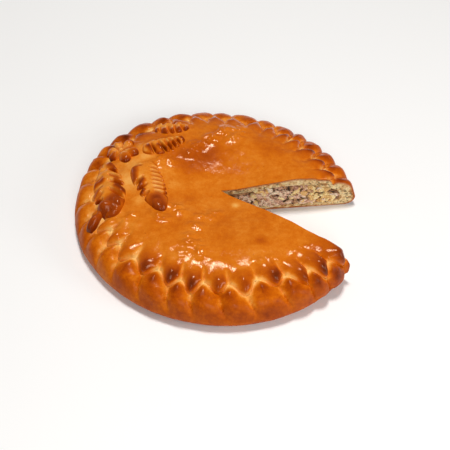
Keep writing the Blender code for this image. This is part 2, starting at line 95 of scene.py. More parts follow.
# Bearing and spread of a stretch of the rim
BACK, BACK_FLATTENING = (radians(80.0), radians(38.0)), 0.45
COVER, COVER_FLATTENING = (radians(152.0), radians(50.0)), 0.75
LEFT, LEFT_PALENESS, LEFT_LIGHTER = (radians(192.0), radians(48.0)), 0.6, 0.09
SWELL_HEIGHT, SWELL_SIZE, SWELL_LEVEL = 0.0014, 0.045, 0.7


def smooth(low, high, value):
    """Rises from 0 at low to 1 at high."""
    share = np.clip((value - low) / (high - low), 0.0, 1.0)
    return share * share * (3.0 - 2.0 * share)


def plateau(edges, value):
    """Rises to 1 between the first two edges and falls back to 0 between the last two."""
    return smooth(edges[0], edges[1], value) * (1.0 - smooth(edges[2], edges[3], value))


def bell(distance, width):
    return np.exp(-((distance / width) ** 2))


def with_waves(level, bearing, waves):
    return sum((height * np.cos(count * (bearing - crest)) for height, count, crest in waves), level)


def outline(bearing):
    return with_waves(MEAN_RADIUS, bearing, OUTLINE_WAVES)


def rounded_path(points, steps=12):
    """Catmull-Rom curve through the points."""
    pts = np.array([points[0], *points, points[-1]])
    path = [
        0.5 * (2 * b + (c - a) * t + (2 * a - 5 * b + 4 * c - d) * t**2 + (3 * b - a - 3 * c + d) * t**3)
        for a, b, c, d in zip(pts, pts[1:], pts[2:], pts[3:]) for t in np.arange(steps) / steps
    ]
    return np.array([*path, pts[-1]])


def lengths_along(path):
    return np.concatenate([[0.0], np.cumsum(norm(np.diff(path, axis=0), axis=1))])


RIM_PATH = rounded_path(RIM_PROFILE)
RIM_ALONG = lengths_along(RIM_PATH)
SHOULDER = RIM_ALONG[-1]
SHOULDER_INWARD, SHOULDER_HEIGHT = RIM_PROFILE[-1]
OVERHANG = int(np.argmin(RIM_PATH[:, 0]))
NORMAL_STEP = 0.0015


def rim_section(along):
    """Inward distance, height and outward normal of the smooth profile."""
    def at(distance):
        return np.array([np.interp(distance, RIM_ALONG, column) for column in RIM_PATH.T])
    run, rise = at(np.minimum(along + NORMAL_STEP, SHOULDER)) - at(np.maximum(along - NORMAL_STEP, 0.0))
    length = np.hypot(run, rise)
    return *at(along), -rise / length, run / length


def phase(bearing):
    """Counts pleats round the rim: a whole number at each apex of a lobe."""
    return with_waves(PLEAT_SHIFT + bearing / PLEAT_WIDTH, bearing, PLEAT_WAVES)


BEARINGS = np.linspace(FAR_CUT, NEAR_CUT, 4000)
PHASES = phase(BEARINGS)


def bearing_of(phase_value):
    return np.interp(phase_value, PHASES, BEARINGS)


def uneven(pleat, kind):
    """How one pleat departs from the usual, between -1 and 1."""
    return UNEVENNESS[np.asarray(pleat).astype(int) % len(UNEVENNESS), kind]


def tip_share(pleat):
    return TIP_SHARE + TIP_SPREAD * uneven(pleat, 3)


def seam(phase_value):
    """How far along the profile the seam between base and lid lies: a rounded zigzag."""
    phase_value = np.asarray(phase_value, float)
    pleat = np.floor(phase_value)
    share, turning = phase_value - pleat, tip_share(pleat)
    down = share < turning
    tip = TONGUE_TIP + SEAM_SPREAD * uneven(pleat, 0)
    apex = LOBE_APEX + SEAM_SPREAD * uneven(np.where(down, pleat, pleat + 1), 1)
    turn = np.where(down, share / turning, (1.0 - share) / (1.0 - turning))
    return tip + (apex - tip) * (0.5 + 0.5 * np.cos(pi * turn))


def near(bearing):
    """1 beside the near cut, where the rim is puffed up and its pattern sits lower."""
    return smooth(*NEAR_DROP_BEARINGS, np.mod(bearing, tau))


def seam_along(bearing):
    return seam(phase(bearing)) - NEAR_DROP * near(bearing)


def crease_lines(pleat):
    """The creases of one pleat as (phase, distance along): its stretch of the seam, the crease
    that runs on over the lid from the apex and the one that runs down the wall from the tip."""
    shares = np.linspace(0.0, 1.0, CREASE_STEPS + 1)
    stretch = [(pleat + share, float(seam(pleat + share))) for share in shares]
    tip = pleat + float(tip_share(pleat))
    over_lid = [stretch[0], (pleat - LID_SLANT, TONGUE_END)]
    down_wall = [
        (tip, float(seam(tip))), (tip + WALL_BEND * WALL_SLANT, 0.5 * (TONGUE_TIP + WALL_START)),
        (tip + WALL_SLANT, WALL_START),
    ]
    return [np.array(line) * (PLEAT_SPAN, 1.0) for line in (stretch, over_lid, down_wall)]


CREASES = {k: crease_lines(k) for k in range(math.floor(PHASES[0]) - 1, math.ceil(PHASES[-1]) + 2)}


def line_distance(plan, line):
    """Distance from places in a plane to a line of points."""
    distances = []
    for start, end in zip(line, line[1:]):
        run, away = end - start, plan - start
        share = np.clip(away @ run / (run @ run), 0.0, 1.0)
        distances.append(norm(away - share[:, None] * run, axis=1))
    return np.min(distances, axis=0)


def crease_distance(phase_value, along):
    """Distance over the dough to the nearest crease."""
    here = np.stack([phase_value * PLEAT_SPAN, along], axis=-1)
    nearest = np.full(len(here), 1.0)
    for k, lines in CREASES.items():
        close = np.abs(np.floor(phase_value) - k) <= 1
        for line in lines:
            nearest[close] = np.minimum(nearest[close], line_distance(here[close], line))
    return nearest


def puff(bearing, along):
    return NEAR_PUFF * near(bearing) * plateau(PUFF_BAND, along)


def beside(bearing, centre, spread):
    """1 at the centre bearing, falling smoothly to 0 beyond the spread."""
    away = np.abs(np.mod(bearing - centre + pi, tau) - pi)
    return 1.0 - smooth(0.5 * spread, spread, away)


def dome_height(share):
    return MIDDLE_HEIGHT + (SHOULDER_HEIGHT - MIDDLE_HEIGHT) * smooth(0.0, 1.0, share)


def under_lid(bearing, inward):
    """Height of the lid's underside."""
    share = (outline(bearing) - inward) / (outline(bearing) - SHOULDER_INWARD)
    thickness = LID_MIDDLE_THICKNESS + (LID_THICKNESS - LID_MIDDLE_THICKNESS) * share
    rim = np.interp(inward, RIM_PATH[OVERHANG:, 0], RIM_PATH[OVERHANG:, 1]) - LID_THICKNESS
    return np.where(inward >= SHOULDER_INWARD, dome_height(share) - thickness, rim)


def polar(bearing, radius, height):
    x, y = KNIFE_POINT.x + radius * np.cos(bearing), KNIFE_POINT.y + radius * np.sin(bearing)
    return np.stack(np.broadcast_arrays(x, y, height), axis=-1)


# ---- finer form of the dough
PLEAT_COLUMNS = 24
RIM_ROWS, WALL_ROWS, DOME_ROWS, FLOOR_ROWS = 46, 52, 84, 24
RIM_CROWDING, WALL_CROWDING = 1.25, 1.12  # how much the rows crowd towards the seam

# Spots on each pleat: shift along the profile, width and length
BULB, BULB_RISE = (-0.0095, 0.0062, 0.0105), 0.0015  # at the end of each tongue
KNOB, KNOB_RISE = (0.0085, 0.0060, 0.0085), 0.0011  # at the top of each lobe
ARCH = (0.0012, 0.0072, 0.0048)  # over each lobe, where the dough stays pale
END, END_SHIFT = (-0.0075, 0.0056, 0.0082), 0.05  # near the end of each tongue, where it browns
CREASE_CUT, CREASE_CUT_WIDTH = 0.0012, 0.0012  # the sharp bottom of a crease
TONGUE_SKEW, SKEW_MIDDLE = 0.45, 0.6  # how much higher a tongue is on its right than on its left

# Lumps of the dough: (size, height)
LUMPS = ((0.017, 0.00050), (0.0080, 0.00022), (0.0034, 0.00006))
SHOULDER_LUMPS = ((0.0120, 0.0009), (0.0060, 0.00025))  # where the tongues rise from the lid
LUMP_SHIFT = Vector((3.7, 0.0, 0.0))
WALL_INSET = 0.0004  # room for the lumps of the side wall
# Stretches of the profile, as distances along it
LUMPS_BAND, SHOULDER_BAND = (0.004, 0.014), (0.054, 0.064, 0.074, 0.086)
INSET_BAND = (0.001, 0.006, 0.022, 0.036)


def noise_at(places, size):
    return np.array([noise.noise(Vector(p) / size + LUMP_SHIFT) for p in places])


def lumps(places, kinds):
    return sum(height * noise_at(places, size) for size, height in kinds)


def swell(places):
    return SWELL_HEIGHT * np.array(
        [noise.noise(Vector((p[0] / SWELL_SIZE, p[1] / SWELL_SIZE, SWELL_LEVEL))) for p in places]
    )


def spot(phases, distances, kind):
    """1 in the middle of a spot, falling to 0 around it."""
    shift, width, length = kind
    return np.exp(-((phases * PLEAT_SPAN / width) ** 2) - ((distances + shift) / length) ** 2)


class Pleats:
    """Where places lie in the pattern of pleats, given by bearing and distance along."""

    def __init__(self, bearing, along):
        self.phase = phase(bearing)
        self.along = along + NEAR_DROP * near(bearing) * smooth(0.0, NEAR_DROP_START, along)
        self.on_lid = self.along > seam(self.phase)
        self.crease = crease_distance(self.phase, self.along)
        pleat = np.floor(self.phase)
        tip = pleat + tip_share(pleat)
        apex = np.where(self.phase < tip, pleat, pleat + 1.0)
        from_tip = self.along - TONGUE_TIP - SEAM_SPREAD * uneven(pleat, 0)
        from_apex = self.along - LOBE_APEX - SEAM_SPREAD * uneven(apex, 1)
        self.bulb = spot(self.phase - tip, from_tip, BULB)
        self.end = spot(self.phase - tip - END_SHIFT, from_tip, END)
        self.knob = spot(self.phase - apex, from_apex, KNOB)
        self.arch = spot(self.phase - apex, from_apex, ARCH)
        self.height_share = uneven(pleat, 2)
        lean = LID_SLANT * np.clip((self.along - LOBE_APEX) / (TONGUE_END - LOBE_APEX), 0.0, 1.0)
        self.across = np.mod(self.phase + lean, 1.0)  # a tongue, from the crease on its left


def rim_relief(bearing, pleats):
    """Height of the pleats over the smooth profile, and how much of it shows here."""
    fade = 1.0 - smooth(LOBE_APEX, TONGUE_END, pleats.along)
    fade *= smooth(WALL_START, WALL_FULL, pleats.along)
    fade *= 1.0 - BACK_FLATTENING * beside(bearing, *BACK)
    fade *= np.where(pleats.on_lid, 1.0 - COVER_FLATTENING * beside(bearing, *COVER), 1.0)
    height = np.where(pleats.on_lid, TONGUE_HEIGHT, LOBE_HEIGHT)
    height = height * (1.0 + HEIGHT_SPREAD * pleats.height_share)
    pillow = 1.0 - np.exp(-pleats.crease / CREASE_WIDTH)
    skew = np.where(pleats.on_lid, 1.0 + TONGUE_SKEW * (pleats.across - SKEW_MIDDLE), 1.0)
    relief = height * fade * (skew * pillow - CREASE_SHARE)
    relief += fade * np.where(pleats.on_lid, BULB_RISE * pleats.bulb, KNOB_RISE * pleats.knob)
    return relief - fade * CREASE_CUT * bell(pleats.crease, CREASE_CUT_WIDTH), fade


# Chains of blisters in the lid: size of a blister, then the points of the chain
CHAINS = rows(
    0, 1, (5.6, -64, 28, -56, 37, -49, 39), (6.0, -37, 41, -30, 50, -22, 60),
    (5.6, -17, 60, -9, 68, 8, 85), (5.2, 12, 64, 20, 78, 27, 92),
    (4.2, -45, -30, -44, -25, -38, -32, -37, -38), (4.2, -64, -38, -56, -44, -50, -46),
    (6.6, -19, -39, -3, -33), (5.6, -20, -50, -24, -57, -29, -70, -25, -76),
    (5.2, -25, -76, -21, -82, -17, -94), (4.4, -32, -82, -35, -90, -32, -96),
    (3.8, 25, -99, 38, -96, 49, -96), (3.8, 63, -89, 77, -79, 85, -76),
    (3.6, -107, -63, -93, -63), (3.6, -85, -83, -70, -83), (3.8, -94, -46, -82, -39),
)
# As shares of a blister's size: spacing, stray, half length, half width and height
BLISTER_STEP, BLISTER_STRAY, BLISTER_LENGTH, BLISTER_WIDTH, BLISTER_RISE = 0.8, 0.16, 1.4, 0.90, 0.50
BLISTER_SIZES, BLISTER_RISES, BLISTER_TURN = (0.65, 1.2), (0.85, 1.15), 0.5
BLISTER_GRAIN, BLISTER_BASE, BLISTER_SPREAD = 0.0044, 0.95, 0.6
# Depth and half width, then the points of the hollow
HOLLOWS = rows(0, 2, (0.8, 3.0, -24, -58, -22, -70, -23, -84), (1.0, 6.0, -55, 37, -30, 43, -16, 48))


def blisters():
    """For each blister of the chains: its middle, the way it lies, its size and its height."""
    draw = np.random.default_rng(7)
    made = []
    for size, line in CHAINS:
        for start, end in zip(line, line[1:]):
            count = max(1, round(norm(end - start) / (BLISTER_STEP * size)))
            for step in range(count):
                middle = start + (end - start) * (step + draw.uniform()) / count
                middle = middle + draw.normal(0.0, BLISTER_STRAY * size, 2)
                turn, own = draw.normal(0.0, BLISTER_TURN), size * draw.uniform(*BLISTER_SIZES)
                made.append((middle, turn, own, BLISTER_RISE * own * draw.uniform(*BLISTER_RISES)))
    return made


BLISTERS = blisters()


def lid_marks(places):
    """Height of the blisters and hollows at places given as x, y, z."""
    plan = places[:, :2] - KNIFE_PLAN
    height = np.zeros(len(plan))
    for middle, turn, size, rise in BLISTERS:
        away = plan - middle
        along = away @ (cos(turn), sin(turn)) / (BLISTER_LENGTH * size)
        aside = away @ (-sin(turn), cos(turn)) / (BLISTER_WIDTH * size)
        height = np.maximum(height, rise * np.exp(-(along**2) - aside**2))
    height *= BLISTER_BASE + BLISTER_SPREAD * noise_at(places, BLISTER_GRAIN)
    return height - sum(fall * bell(line_distance(plan, line), width) for fall, width, line in HOLLOWS)


# Browning runs from 0, pale dough, to 1, dark brown. The same scale also carries painted shade beside the
# tongues and in the leaves' slits, and a painted highlight on the slits' lips
LID_TONE, RIM_TONE, WALL_TONE, FOOT_TONE = 0.43, 0.51, 0.62, 0.74
WALL_TONE_BAND, RIM_TONE_BAND, GLOSS_BAND = (0.002, 0.014), (0.026, 0.042), (0.020, 0.040)
CREASE_PALE, CREASE_PALE_WIDTH = 0.22, 0.0029
BROWN_FROM_CREASE = (0.0006, 0.0026)  # distances between which the browning sets in
WALL_CREASE_PALE, WALL_PALE_BAND = 0.6, (0.026, 0.040)
CREASE_SPREAD, CREASE_SPREAD_SIZE = 1.1, 0.011  # how much the paleness of the creases varies
ARCH_PALE, END_BROWN, KNOB_BROWN, TONGUE_BROWN, BROWN_SPREAD = 0.26, 0.31, 0.22, 0.04, 0.5
SIDE_BROWN_AND_SHADE, SIDE_PLACE, SIDE_WIDTH = 0.13, 0.84, 0.10  # browning and painted shade along the right side of a tongue
# Browner and paler patches of the lid: strength, size and middle
PATCHES = rows(
    1, 1, (0.16, 18, -34, 40), (0.16, 18, -12, 44), (0.18, 6, 37, -73), (0.08, 30, 60, 60),
    (0.10, 16, -60, 70), (-0.22, 4, 14, -21), (-0.10, 12, -52, 18), (-0.20, 12, -88, 4),
    (-0.20, 10, -88, 30), (-0.16, 7, -74, 42), (-0.14, 6, -82, 56), (-0.08, 6, -46, 2),
    (-0.12, 7, -76, -22), (-0.10, 18, -100, -70),
)
# Pleats of the rim that have browned more than the others
RIM_PATCHES = rows(
    1, 1, (0.30, 6.5, -64, 103), (0.30, 6.0, -83, 84), (0.22, 5.0, -97, 76), (0.26, 5.2, -110, 61),
    (0.20, 4.0, -115, 54), (0.26, 4.2, -122, 39), (0.26, 5.2, -43, 110), (0.18, 4.2, -47, 96),
    (0.12, 8.0, 112, 42), (0.10, 16, 96, -86),
)


def browner_patches(places, patches):
    plan = places[:, :2] - KNIFE_PLAN
    return sum(strength * bell(norm(plan - middle, axis=1), size) for strength, size, middle in patches)


def rim_points(bearing, along):
    """Places, browning and gloss of one row of the outside below the shoulder. The browning
    also holds painted shade along the right side of each tongue.
    """
    inward, height, normal_x, normal_z = rim_section(along)
    pleats = Pleats(bearing, along)
    relief, fade = rim_relief(bearing, pleats)
    lift = relief + puff(bearing, along)
    places = polar(bearing, outline(bearing) - inward - normal_x * lift, height + normal_z * lift)
    above = smooth(TONGUE_TIP, SHOULDER, along)
    places[:, 2] += (swell(places) + lid_marks(places)) * above
    fine = lumps(places, LUMPS) * smooth(*LUMPS_BAND, along)
    fine += lumps(places, SHOULDER_LUMPS) * plateau(SHOULDER_BAND, pleats.along)
    fine -= WALL_INSET * plateau(INSET_BAND, along)
    places += fine[:, None] * (polar(bearing, -normal_x, normal_z) - np.array(KNIFE_POINT))
    left = beside(bearing, *LEFT)
    # The right side of each tongue is darkened by browning and by painted shade where it drops into the
    # crease.
    side = END_BROWN * pleats.end + SIDE_BROWN_AND_SHADE * bell(pleats.across - SIDE_PLACE, SIDE_WIDTH)
    dark = np.where(pleats.on_lid, side + TONGUE_BROWN, KNOB_BROWN * pleats.knob)
    dark *= fade * (1.0 - LEFT_PALENESS * left) * (1.0 + BROWN_SPREAD * pleats.height_share)
    dark *= smooth(*BROWN_FROM_CREASE, pleats.crease)
    pale = CREASE_PALE * bell(pleats.crease, CREASE_PALE_WIDTH)
    pale = pale * (1.0 + CREASE_SPREAD * noise_at(places, CREASE_SPREAD_SIZE)) + ARCH_PALE * pleats.arch
    pale *= WALL_CREASE_PALE + (1.0 - WALL_CREASE_PALE) * smooth(*WALL_PALE_BAND, pleats.along)
    tone = FOOT_TONE + (WALL_TONE - FOOT_TONE) * smooth(*WALL_TONE_BAND, along)
    tone += (RIM_TONE - WALL_TONE) * smooth(*RIM_TONE_BAND, along)
    tone += (LID_TONE - RIM_TONE) * smooth(LOBE_APEX, TONGUE_END, along)
    brown = tone + dark - pale * fade - LEFT_LIGHTER * left * (1.0 - above)
    brown += browner_patches(places, RIM_PATCHES) + browner_patches(places, PATCHES) * above
    return places, brown, smooth(*GLOSS_BAND, along)


def dome_points(bearing, share):
    """The same for one row inside the shoulder, share of the way out from the knife point."""
    places = polar(bearing, share * (outline(bearing) - SHOULDER_INWARD), dome_height(share))
    places[:, 2] += swell(places) + lid_marks(places) + lumps(places, LUMPS)
    return places, LID_TONE + browner_patches(places, PATCHES), np.ones(len(places))


# ---- crusts
CUT_LAYERS = 12  # of mesh between the skin and the inside at a cut
EDGE_DEPTH = 0.02  # how far under the skin the dough counts as lying where lid and base meet
MIDDLE_LIFT = 0.0002  # of the lid's top over the knife point
THINNING_RADIUS, LEAST_RADIUS = 0.125, 0.001  # columns halve each time the radius does
SAME_PHASE = 1e-6
SHARP_ANGLE = radians(60.0)
CRUST_SKIN, CRUMB = 0, 1
PORE_SIZE, PORE_DEPTH, PORE_FLATTENING, PORE_REACH, PORE_EDGE = 0.0031, 0.0013, 1.6, 0.62, 2.4
PORE_CLOUD, CLOUD_BASE, CLOUD_SPREAD = 0.010, 0.75, 0.9  # where pores gather


def add_piece(name, data, materials, replaced):
    for material in materials:
        data.materials.append(material)
    piece = bpy.data.objects.new(name, data)
    bpy.context.scene.collection.objects.link(piece)
    data.shade_smooth()
    data.set_sharp_from_angle(angle=SHARP_ANGLE)
    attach(piece, BODY)
    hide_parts(*replaced)
    return piece


def press_crumb(place):
    """How deep a place on cut dough lies in a pore, in metres and from 0 to 1."""
    distances, _ = noise.voronoi(Vector((place.x, place.y, place.z * PORE_FLATTENING)) / PORE_SIZE)
    cloud = CLOUD_BASE + CLOUD_SPREAD * noise.noise(place / PORE_CLOUD)
    depth = min(max((PORE_REACH - distances[0]) * PORE_EDGE * cloud, 0.0), 1.0)
    return PORE_DEPTH * depth, depth


def cut_frame(cut, open_side):
    """Directions along a cut and out of it."""
    return Vector((cos(cut), sin(cut), 0.0)), Vector((sin(cut), -cos(cut), 0.0)) * open_side


class Shell:
    """A body swept round the pie: rows of points from the knife point out over its skin, across
    an edge and back along its inside, with both cut faces filled in."""

    def __init__(self, press):
        self.press = press
        self.mesh = bmesh.new()
        layers = self.mesh.verts.layers.float
        self.layers = [layers.new(name) for name in ("brown", "gloss", "depth", "hole")]

    def point(self, place, brown=0.0, gloss=0.0, depth=1.0, hole=0.0):
        vert = self.mesh.verts.new(place)
        for layer, value in zip(self.layers, (brown, gloss, depth, hole)):
            vert[layer] = value
        return vert

    def skin_row(self, phases, values):
        return [(p, self.point(*value, 0.0)) for p, *value in zip(phases, *values)]

    def plain_row(self, phases, places, depth=LID_THICKNESS):
        return [(p, self.point(place, depth=depth)) for p, place in zip(phases, places)]

    def inner_ring(self, phases, inward, height):
        """A plain row that lies inward from the outline."""
        bearings = bearing_of(phases)
        return self.plain_row(phases, polar(bearings, outline(bearings) - inward, height))

    def face(self, material, *verts):
        self.mesh.faces.new(verts).material_index = material

    def stitch(self, outer, inner, material):
        """Faces between two rows that may differ in their number of points."""
        i = j = 0
        while i < len(outer) - 1 or j < len(inner) - 1:
            outer_next = outer[i + 1][0] if i < len(outer) - 1 else math.inf
            inner_next = inner[j + 1][0] if j < len(inner) - 1 else math.inf
            outer_moves = outer_next < inner_next + SAME_PHASE
            inner_moves = inner_next < outer_next + SAME_PHASE
            corners = outer[i:i + 1 + outer_moves] + inner[j:j + 1 + inner_moves][::-1]
            self.face(material, *(vert for _, vert in corners))
            i, j = i + outer_moves, j + inner_moves

    def edge_rows(self, phases, outer, inner):
        """Rows across the edge, from the last row of the skin to the inner places."""
        made = []
        for k in range(1, CUT_LAYERS):
            places = [a.co.lerp(Vector(b), k / CUT_LAYERS) for (_, a), b in zip(outer, inner)]
            made.append(self.plain_row(phases, places, EDGE_DEPTH * k / CUT_LAYERS))
        return made

    def seam_edge(self, phases, outer):
        """The face where lid and base meet, from the zigzag of the seam in to the filling."""
        bearings = bearing_of(phases)
        inner = polar(bearings, outline(bearings) - CAVITY_TOP[0], CAVITY_TOP[1])
        return self.edge_rows(phases, outer, inner)

    def axis(self, start, end):
        """Points over the knife point, from the skin to the inside."""
        heights = [start + (end - start) * k / CUT_LAYERS for k in range(CUT_LAYERS + 1)]
        return [
            self.point(KNIFE_POINT + Vector((0.0, 0.0, height)), LID_TONE, 1.0, abs(height - start))
            for height in heights
        ]

    def fill_cut(self, skin, inside, edges, cut, open_side):
        """The cut face between a path over the skin and a path along the inside."""
        outwards = cut_frame(cut, open_side)[1]
        grid = [edges[0]]
        for outer, inner in zip(skin[1:-1], inside[1:-1]):
            thickness = (outer.co - inner.co).length
            line = [outer]
            for k in range(1, CUT_LAYERS):
                place = outer.co.lerp(inner.co, k / CUT_LAYERS)
                depth, hole = self.press(place)
                place -= outwards * depth
                tone = outer[self.layers[0]]
                line.append(self.point(place, tone, 0.0, thickness * k / CUT_LAYERS, hole))
            grid.append([*line, inner])
        grid.append(edges[1])
        for line, following in zip(grid, grid[1:]):
            for k in range(CUT_LAYERS):
                corners = (line[k], line[k + 1], following[k + 1], following[k])
                self.face(CRUMB, *dict.fromkeys(corners))

    def close(self, name, axis, skin, edge, inside):
        for row, end, material in ((skin[0], axis[0], CRUST_SKIN), (inside[0], axis[-1], CRUMB)):
            for (_, a), (_, b) in zip(row, row[1:]):
                self.face(material, a, b, end)
        for row, following in zip(skin, skin[1:]):
            self.stitch(row, following, CRUST_SKIN)
        for row, following in zip([skin[-1], *edge, *inside], [*edge, inside[-1], *inside[1:]]):
            self.stitch(row, following, CRUMB)
        for side, (cut, open_side) in zip((0, -1), CUTS):
            skin_path = [axis[0], *(row[side][1] for row in skin)]
            inside_path = [axis[-1], *(row[side][1] for row in inside)]
            rim_edge = [skin_path[-1], *(row[side][1] for row in edge), inside_path[-1]]
            self.fill_cut(skin_path, inside_path, (axis, rim_edge), cut, open_side)
        bmesh.ops.recalc_face_normals(self.mesh, faces=self.mesh.faces)
        data = bpy.data.meshes.new(name)
        self.mesh.to_mesh(data)
        self.mesh.free()
        return data


def columns(every):
    """Phases of the mesh columns from the far cut to the near cut, one in so many."""
    first, last = PHASES[0], PHASES[-1]
    step = 1.0 / PLEAT_COLUMNS
    count = math.floor((last - first) / step - 0.5)
    inside = first + step * np.arange(1, count + 1)
    return np.array([first, *inside[every - 1::every], last])


def every_for(radius):
    """Fewer columns where the rows are shorter."""
    return int(2 ** max(math.floor(math.log2(THINNING_RADIUS / max(radius, LEAST_RADIUS))), 0))


def lid_mesh():
    shell = Shell(press_crumb)
    axis = shell.axis(MIDDLE_HEIGHT + MIDDLE_LIFT, MIDDLE_HEIGHT - LID_MIDDLE_THICKNESS)
    skin, inside = [], []
    for k in range(1, DOME_ROWS + 1):
        share = k / DOME_ROWS
        every = every_for(share * (MEAN_RADIUS - SHOULDER_INWARD))
        phases, inner_phases = columns(every), columns(4 * every)
        skin.append(shell.skin_row(phases, dome_points(bearing_of(phases), share)))
        bearings = bearing_of(inner_phases)
        inward = outline(bearings) - share * (outline(bearings) - SHOULDER_INWARD)
        inside.append(shell.inner_ring(inner_phases, inward, under_lid(bearings, inward)))
    phases, inner_phases = columns(1), columns(8)
    bearings, start = bearing_of(phases), seam_along(bearing_of(phases))
    for k in range(1, RIM_ROWS + 1):
        share = (1.0 - k / RIM_ROWS) ** RIM_CROWDING
        skin.append(shell.skin_row(phases, rim_points(bearings, start + (SHOULDER - start) * share)))
        inward = CAVITY_TOP[0] + (SHOULDER_INWARD - CAVITY_TOP[0]) * share
        height = np.maximum(under_lid(bearing_of(inner_phases), inward), CAVITY_TOP[1])
        inside.append(shell.inner_ring(inner_phases, inward, height))
    return shell.close("lid_skin", axis, skin, shell.seam_edge(phases, skin[-1]), inside)


def base_mesh():
    shell = Shell(press_crumb)
    axis = shell.axis(0.0, FLOOR_THICKNESS)
    path = rounded_path((*CAVITY_SIDE[::-1], CAVITY_TOP))  # from the floor's edge up to the corner
    path_share = lengths_along(path) / lengths_along(path)[-1]
    skin, inside = [], []
    for k in range(1, FLOOR_ROWS + 1):
        share = k / FLOOR_ROWS
        phases = columns(4 * every_for(share * MEAN_RADIUS))
        bearings = bearing_of(phases)
        places = polar(bearings, share * (outline(bearings) - RIM_PROFILE[0][0]), 0.0)
        plain = np.zeros(len(places))
        skin.append(shell.skin_row(phases, (places, FOOT_TONE + plain, plain)))
        radius = share * (outline(bearings) - path[0][0])
        inside.append(shell.plain_row(phases, polar(bearings, radius, FLOOR_THICKNESS)))
    phases, inner_phases = columns(1), columns(8)
    bearings = bearing_of(phases)
    for k in range(1, WALL_ROWS + 1):
        share = 1.0 - (1.0 - k / WALL_ROWS) ** WALL_CROWDING
        skin.append(shell.skin_row(phases, rim_points(bearings, seam_along(bearings) * share)))
        inward, height = (np.interp(share, path_share, column) for column in path.T)
        inside.append(shell.inner_ring(inner_phases, inward, height))
    return shell.close("base_skin", axis, skin, shell.seam_edge(phases, skin[-1]), inside)


# ---- decorations
GROUND_STEP, GROUND_EVENING = 0.0008, 4  # of the height map they rest on
GROUND_BOX = ((-0.142, -0.066), (-0.012, 0.118))
SINK = 0.0012  # how far their rims go into the lid
ROUGH_RISE, ROUGH_SIZE = 0.00022, 0.0045
UNDER_WIDTH, UNDER_SINK, THINNEST = 0.94, 1.5 * SINK, 0.0002  # of their undersides

# Leaves: where they are widest, half width and thickness, then start, bend and end of the midrib
LEAVES = dict(zip(("leaf_left", "leaf_middle", "leaf_back", "leaf_edge"), rows(
    1, 2, (0.54, 15.8, 6.5, -113.5, 37, -107, -9, -100.5, -41),
    (0.32, 15.5, 6.0, -78, 30, -67, -6, -53, -36),
    (0.42, 11.5, 5.5, -79, 51.5, -58.5, 51, -37, 66),
    (0.50, 11.5, 5.0, -69, 88.5, -54, 85, -32.5, 85),
)))
LEAF_ROWS, LEAF_COLUMNS = 168, 64
NARROWEST = 0.2  # half width at the ends of a leaf, as a share of its widest
LEAF_CROWN, DROP_CROWN = 3.6, 2.6  # how square a section is
END_SHARE, ENDS_ROUND = 0.75, 0.05
LEAF_TONE, EDGE_BROWN, EDGE_BAND = 0.36, 0.20, (0.72, 0.97)
# Slits between the lobes, from inside out
SLITS = {
    "leaf_left": rows(
        0, 0, (-111.5, 24, -98.5, 16), (-111, 15, -94.5, 6), (-109.5, 6, -90.5, -4),
        (-108, -5, -92.5, -18), (-114, 13, -125, 9.5), (-112.5, -1, -124.5, -5),
        (-111, -9.5, -122.5, -18.5), (-111, -16, -120, -24),
    ),
    "leaf_middle": rows(
        0, 0, (-70, 21, -56, 21), (-70, 15.5, -53, 15.8), (-69, 10, -51, 10.5), (-68, 4.5, -50, 5),
        (-67.5, -1, -49, -0.8), (-66.5, -6.5, -48.5, -6.6), (-65, -12, -48, -13), (-74, 8.5, -82, -6),
        (-69.5, -1.5, -78.5, -11.5), (-67, -11.5, -74.5, -21), (-76, 23, -88, 24.5),
    ),
    "leaf_back": rows(
        0, 0, (-71.5, 58, -65, 42.5), (-64, 61, -53.5, 43.5), (-57.5, 62.5, -48.5, 45.5),
        (-53, 64.5, -44.5, 49), (-48, 67.5, -39.5, 54), (-73.5, 57.5, -79, 72),
        (-65.5, 60, -67.5, 75), (-57, 63.5, -56.5, 78),
    ),
    "leaf_edge": rows(
        0, 0, (-63.5, 88, -62.5, 71.5), (-56.5, 88.5, -51, 71), (-49, 89, -46, 72.5),
        (-43, 89, -36, 72), (-60, 88.5, -59.5, 102), (-50, 88.5, -49, 102), (-40.5, 88.5, -38.5, 101),
    ),
}
# The third number darkens the inside of a slit as painted shade.
SLIT_DEPTH, SLIT_START, SLIT_SHADE, NOTCH = 0.90, 0.25, 0.06, 0.13
SLIT_WIDTHS, SLIT_STEEPNESS = (0.0009, 0.0019), 1.6  # widths at the inner and the outer end
# The edge of dough over a slit, raised and lightened as a painted highlight, and the dough under
# # it, darkened as painted shade with some browning; places and widths are in widths of the slit
LIP_SIDE = (-0.5, 1.0)
LIP_RISE, LIP_PLACE, LIP_WIDTH, LIP_HIGHLIGHT = 0.0006, 1.5, 1.0, 0.22
FLANK_SHADE_AND_BROWN, FLANK_PLACE, FLANK_WIDTH = 0.26, 1.7, 1.5
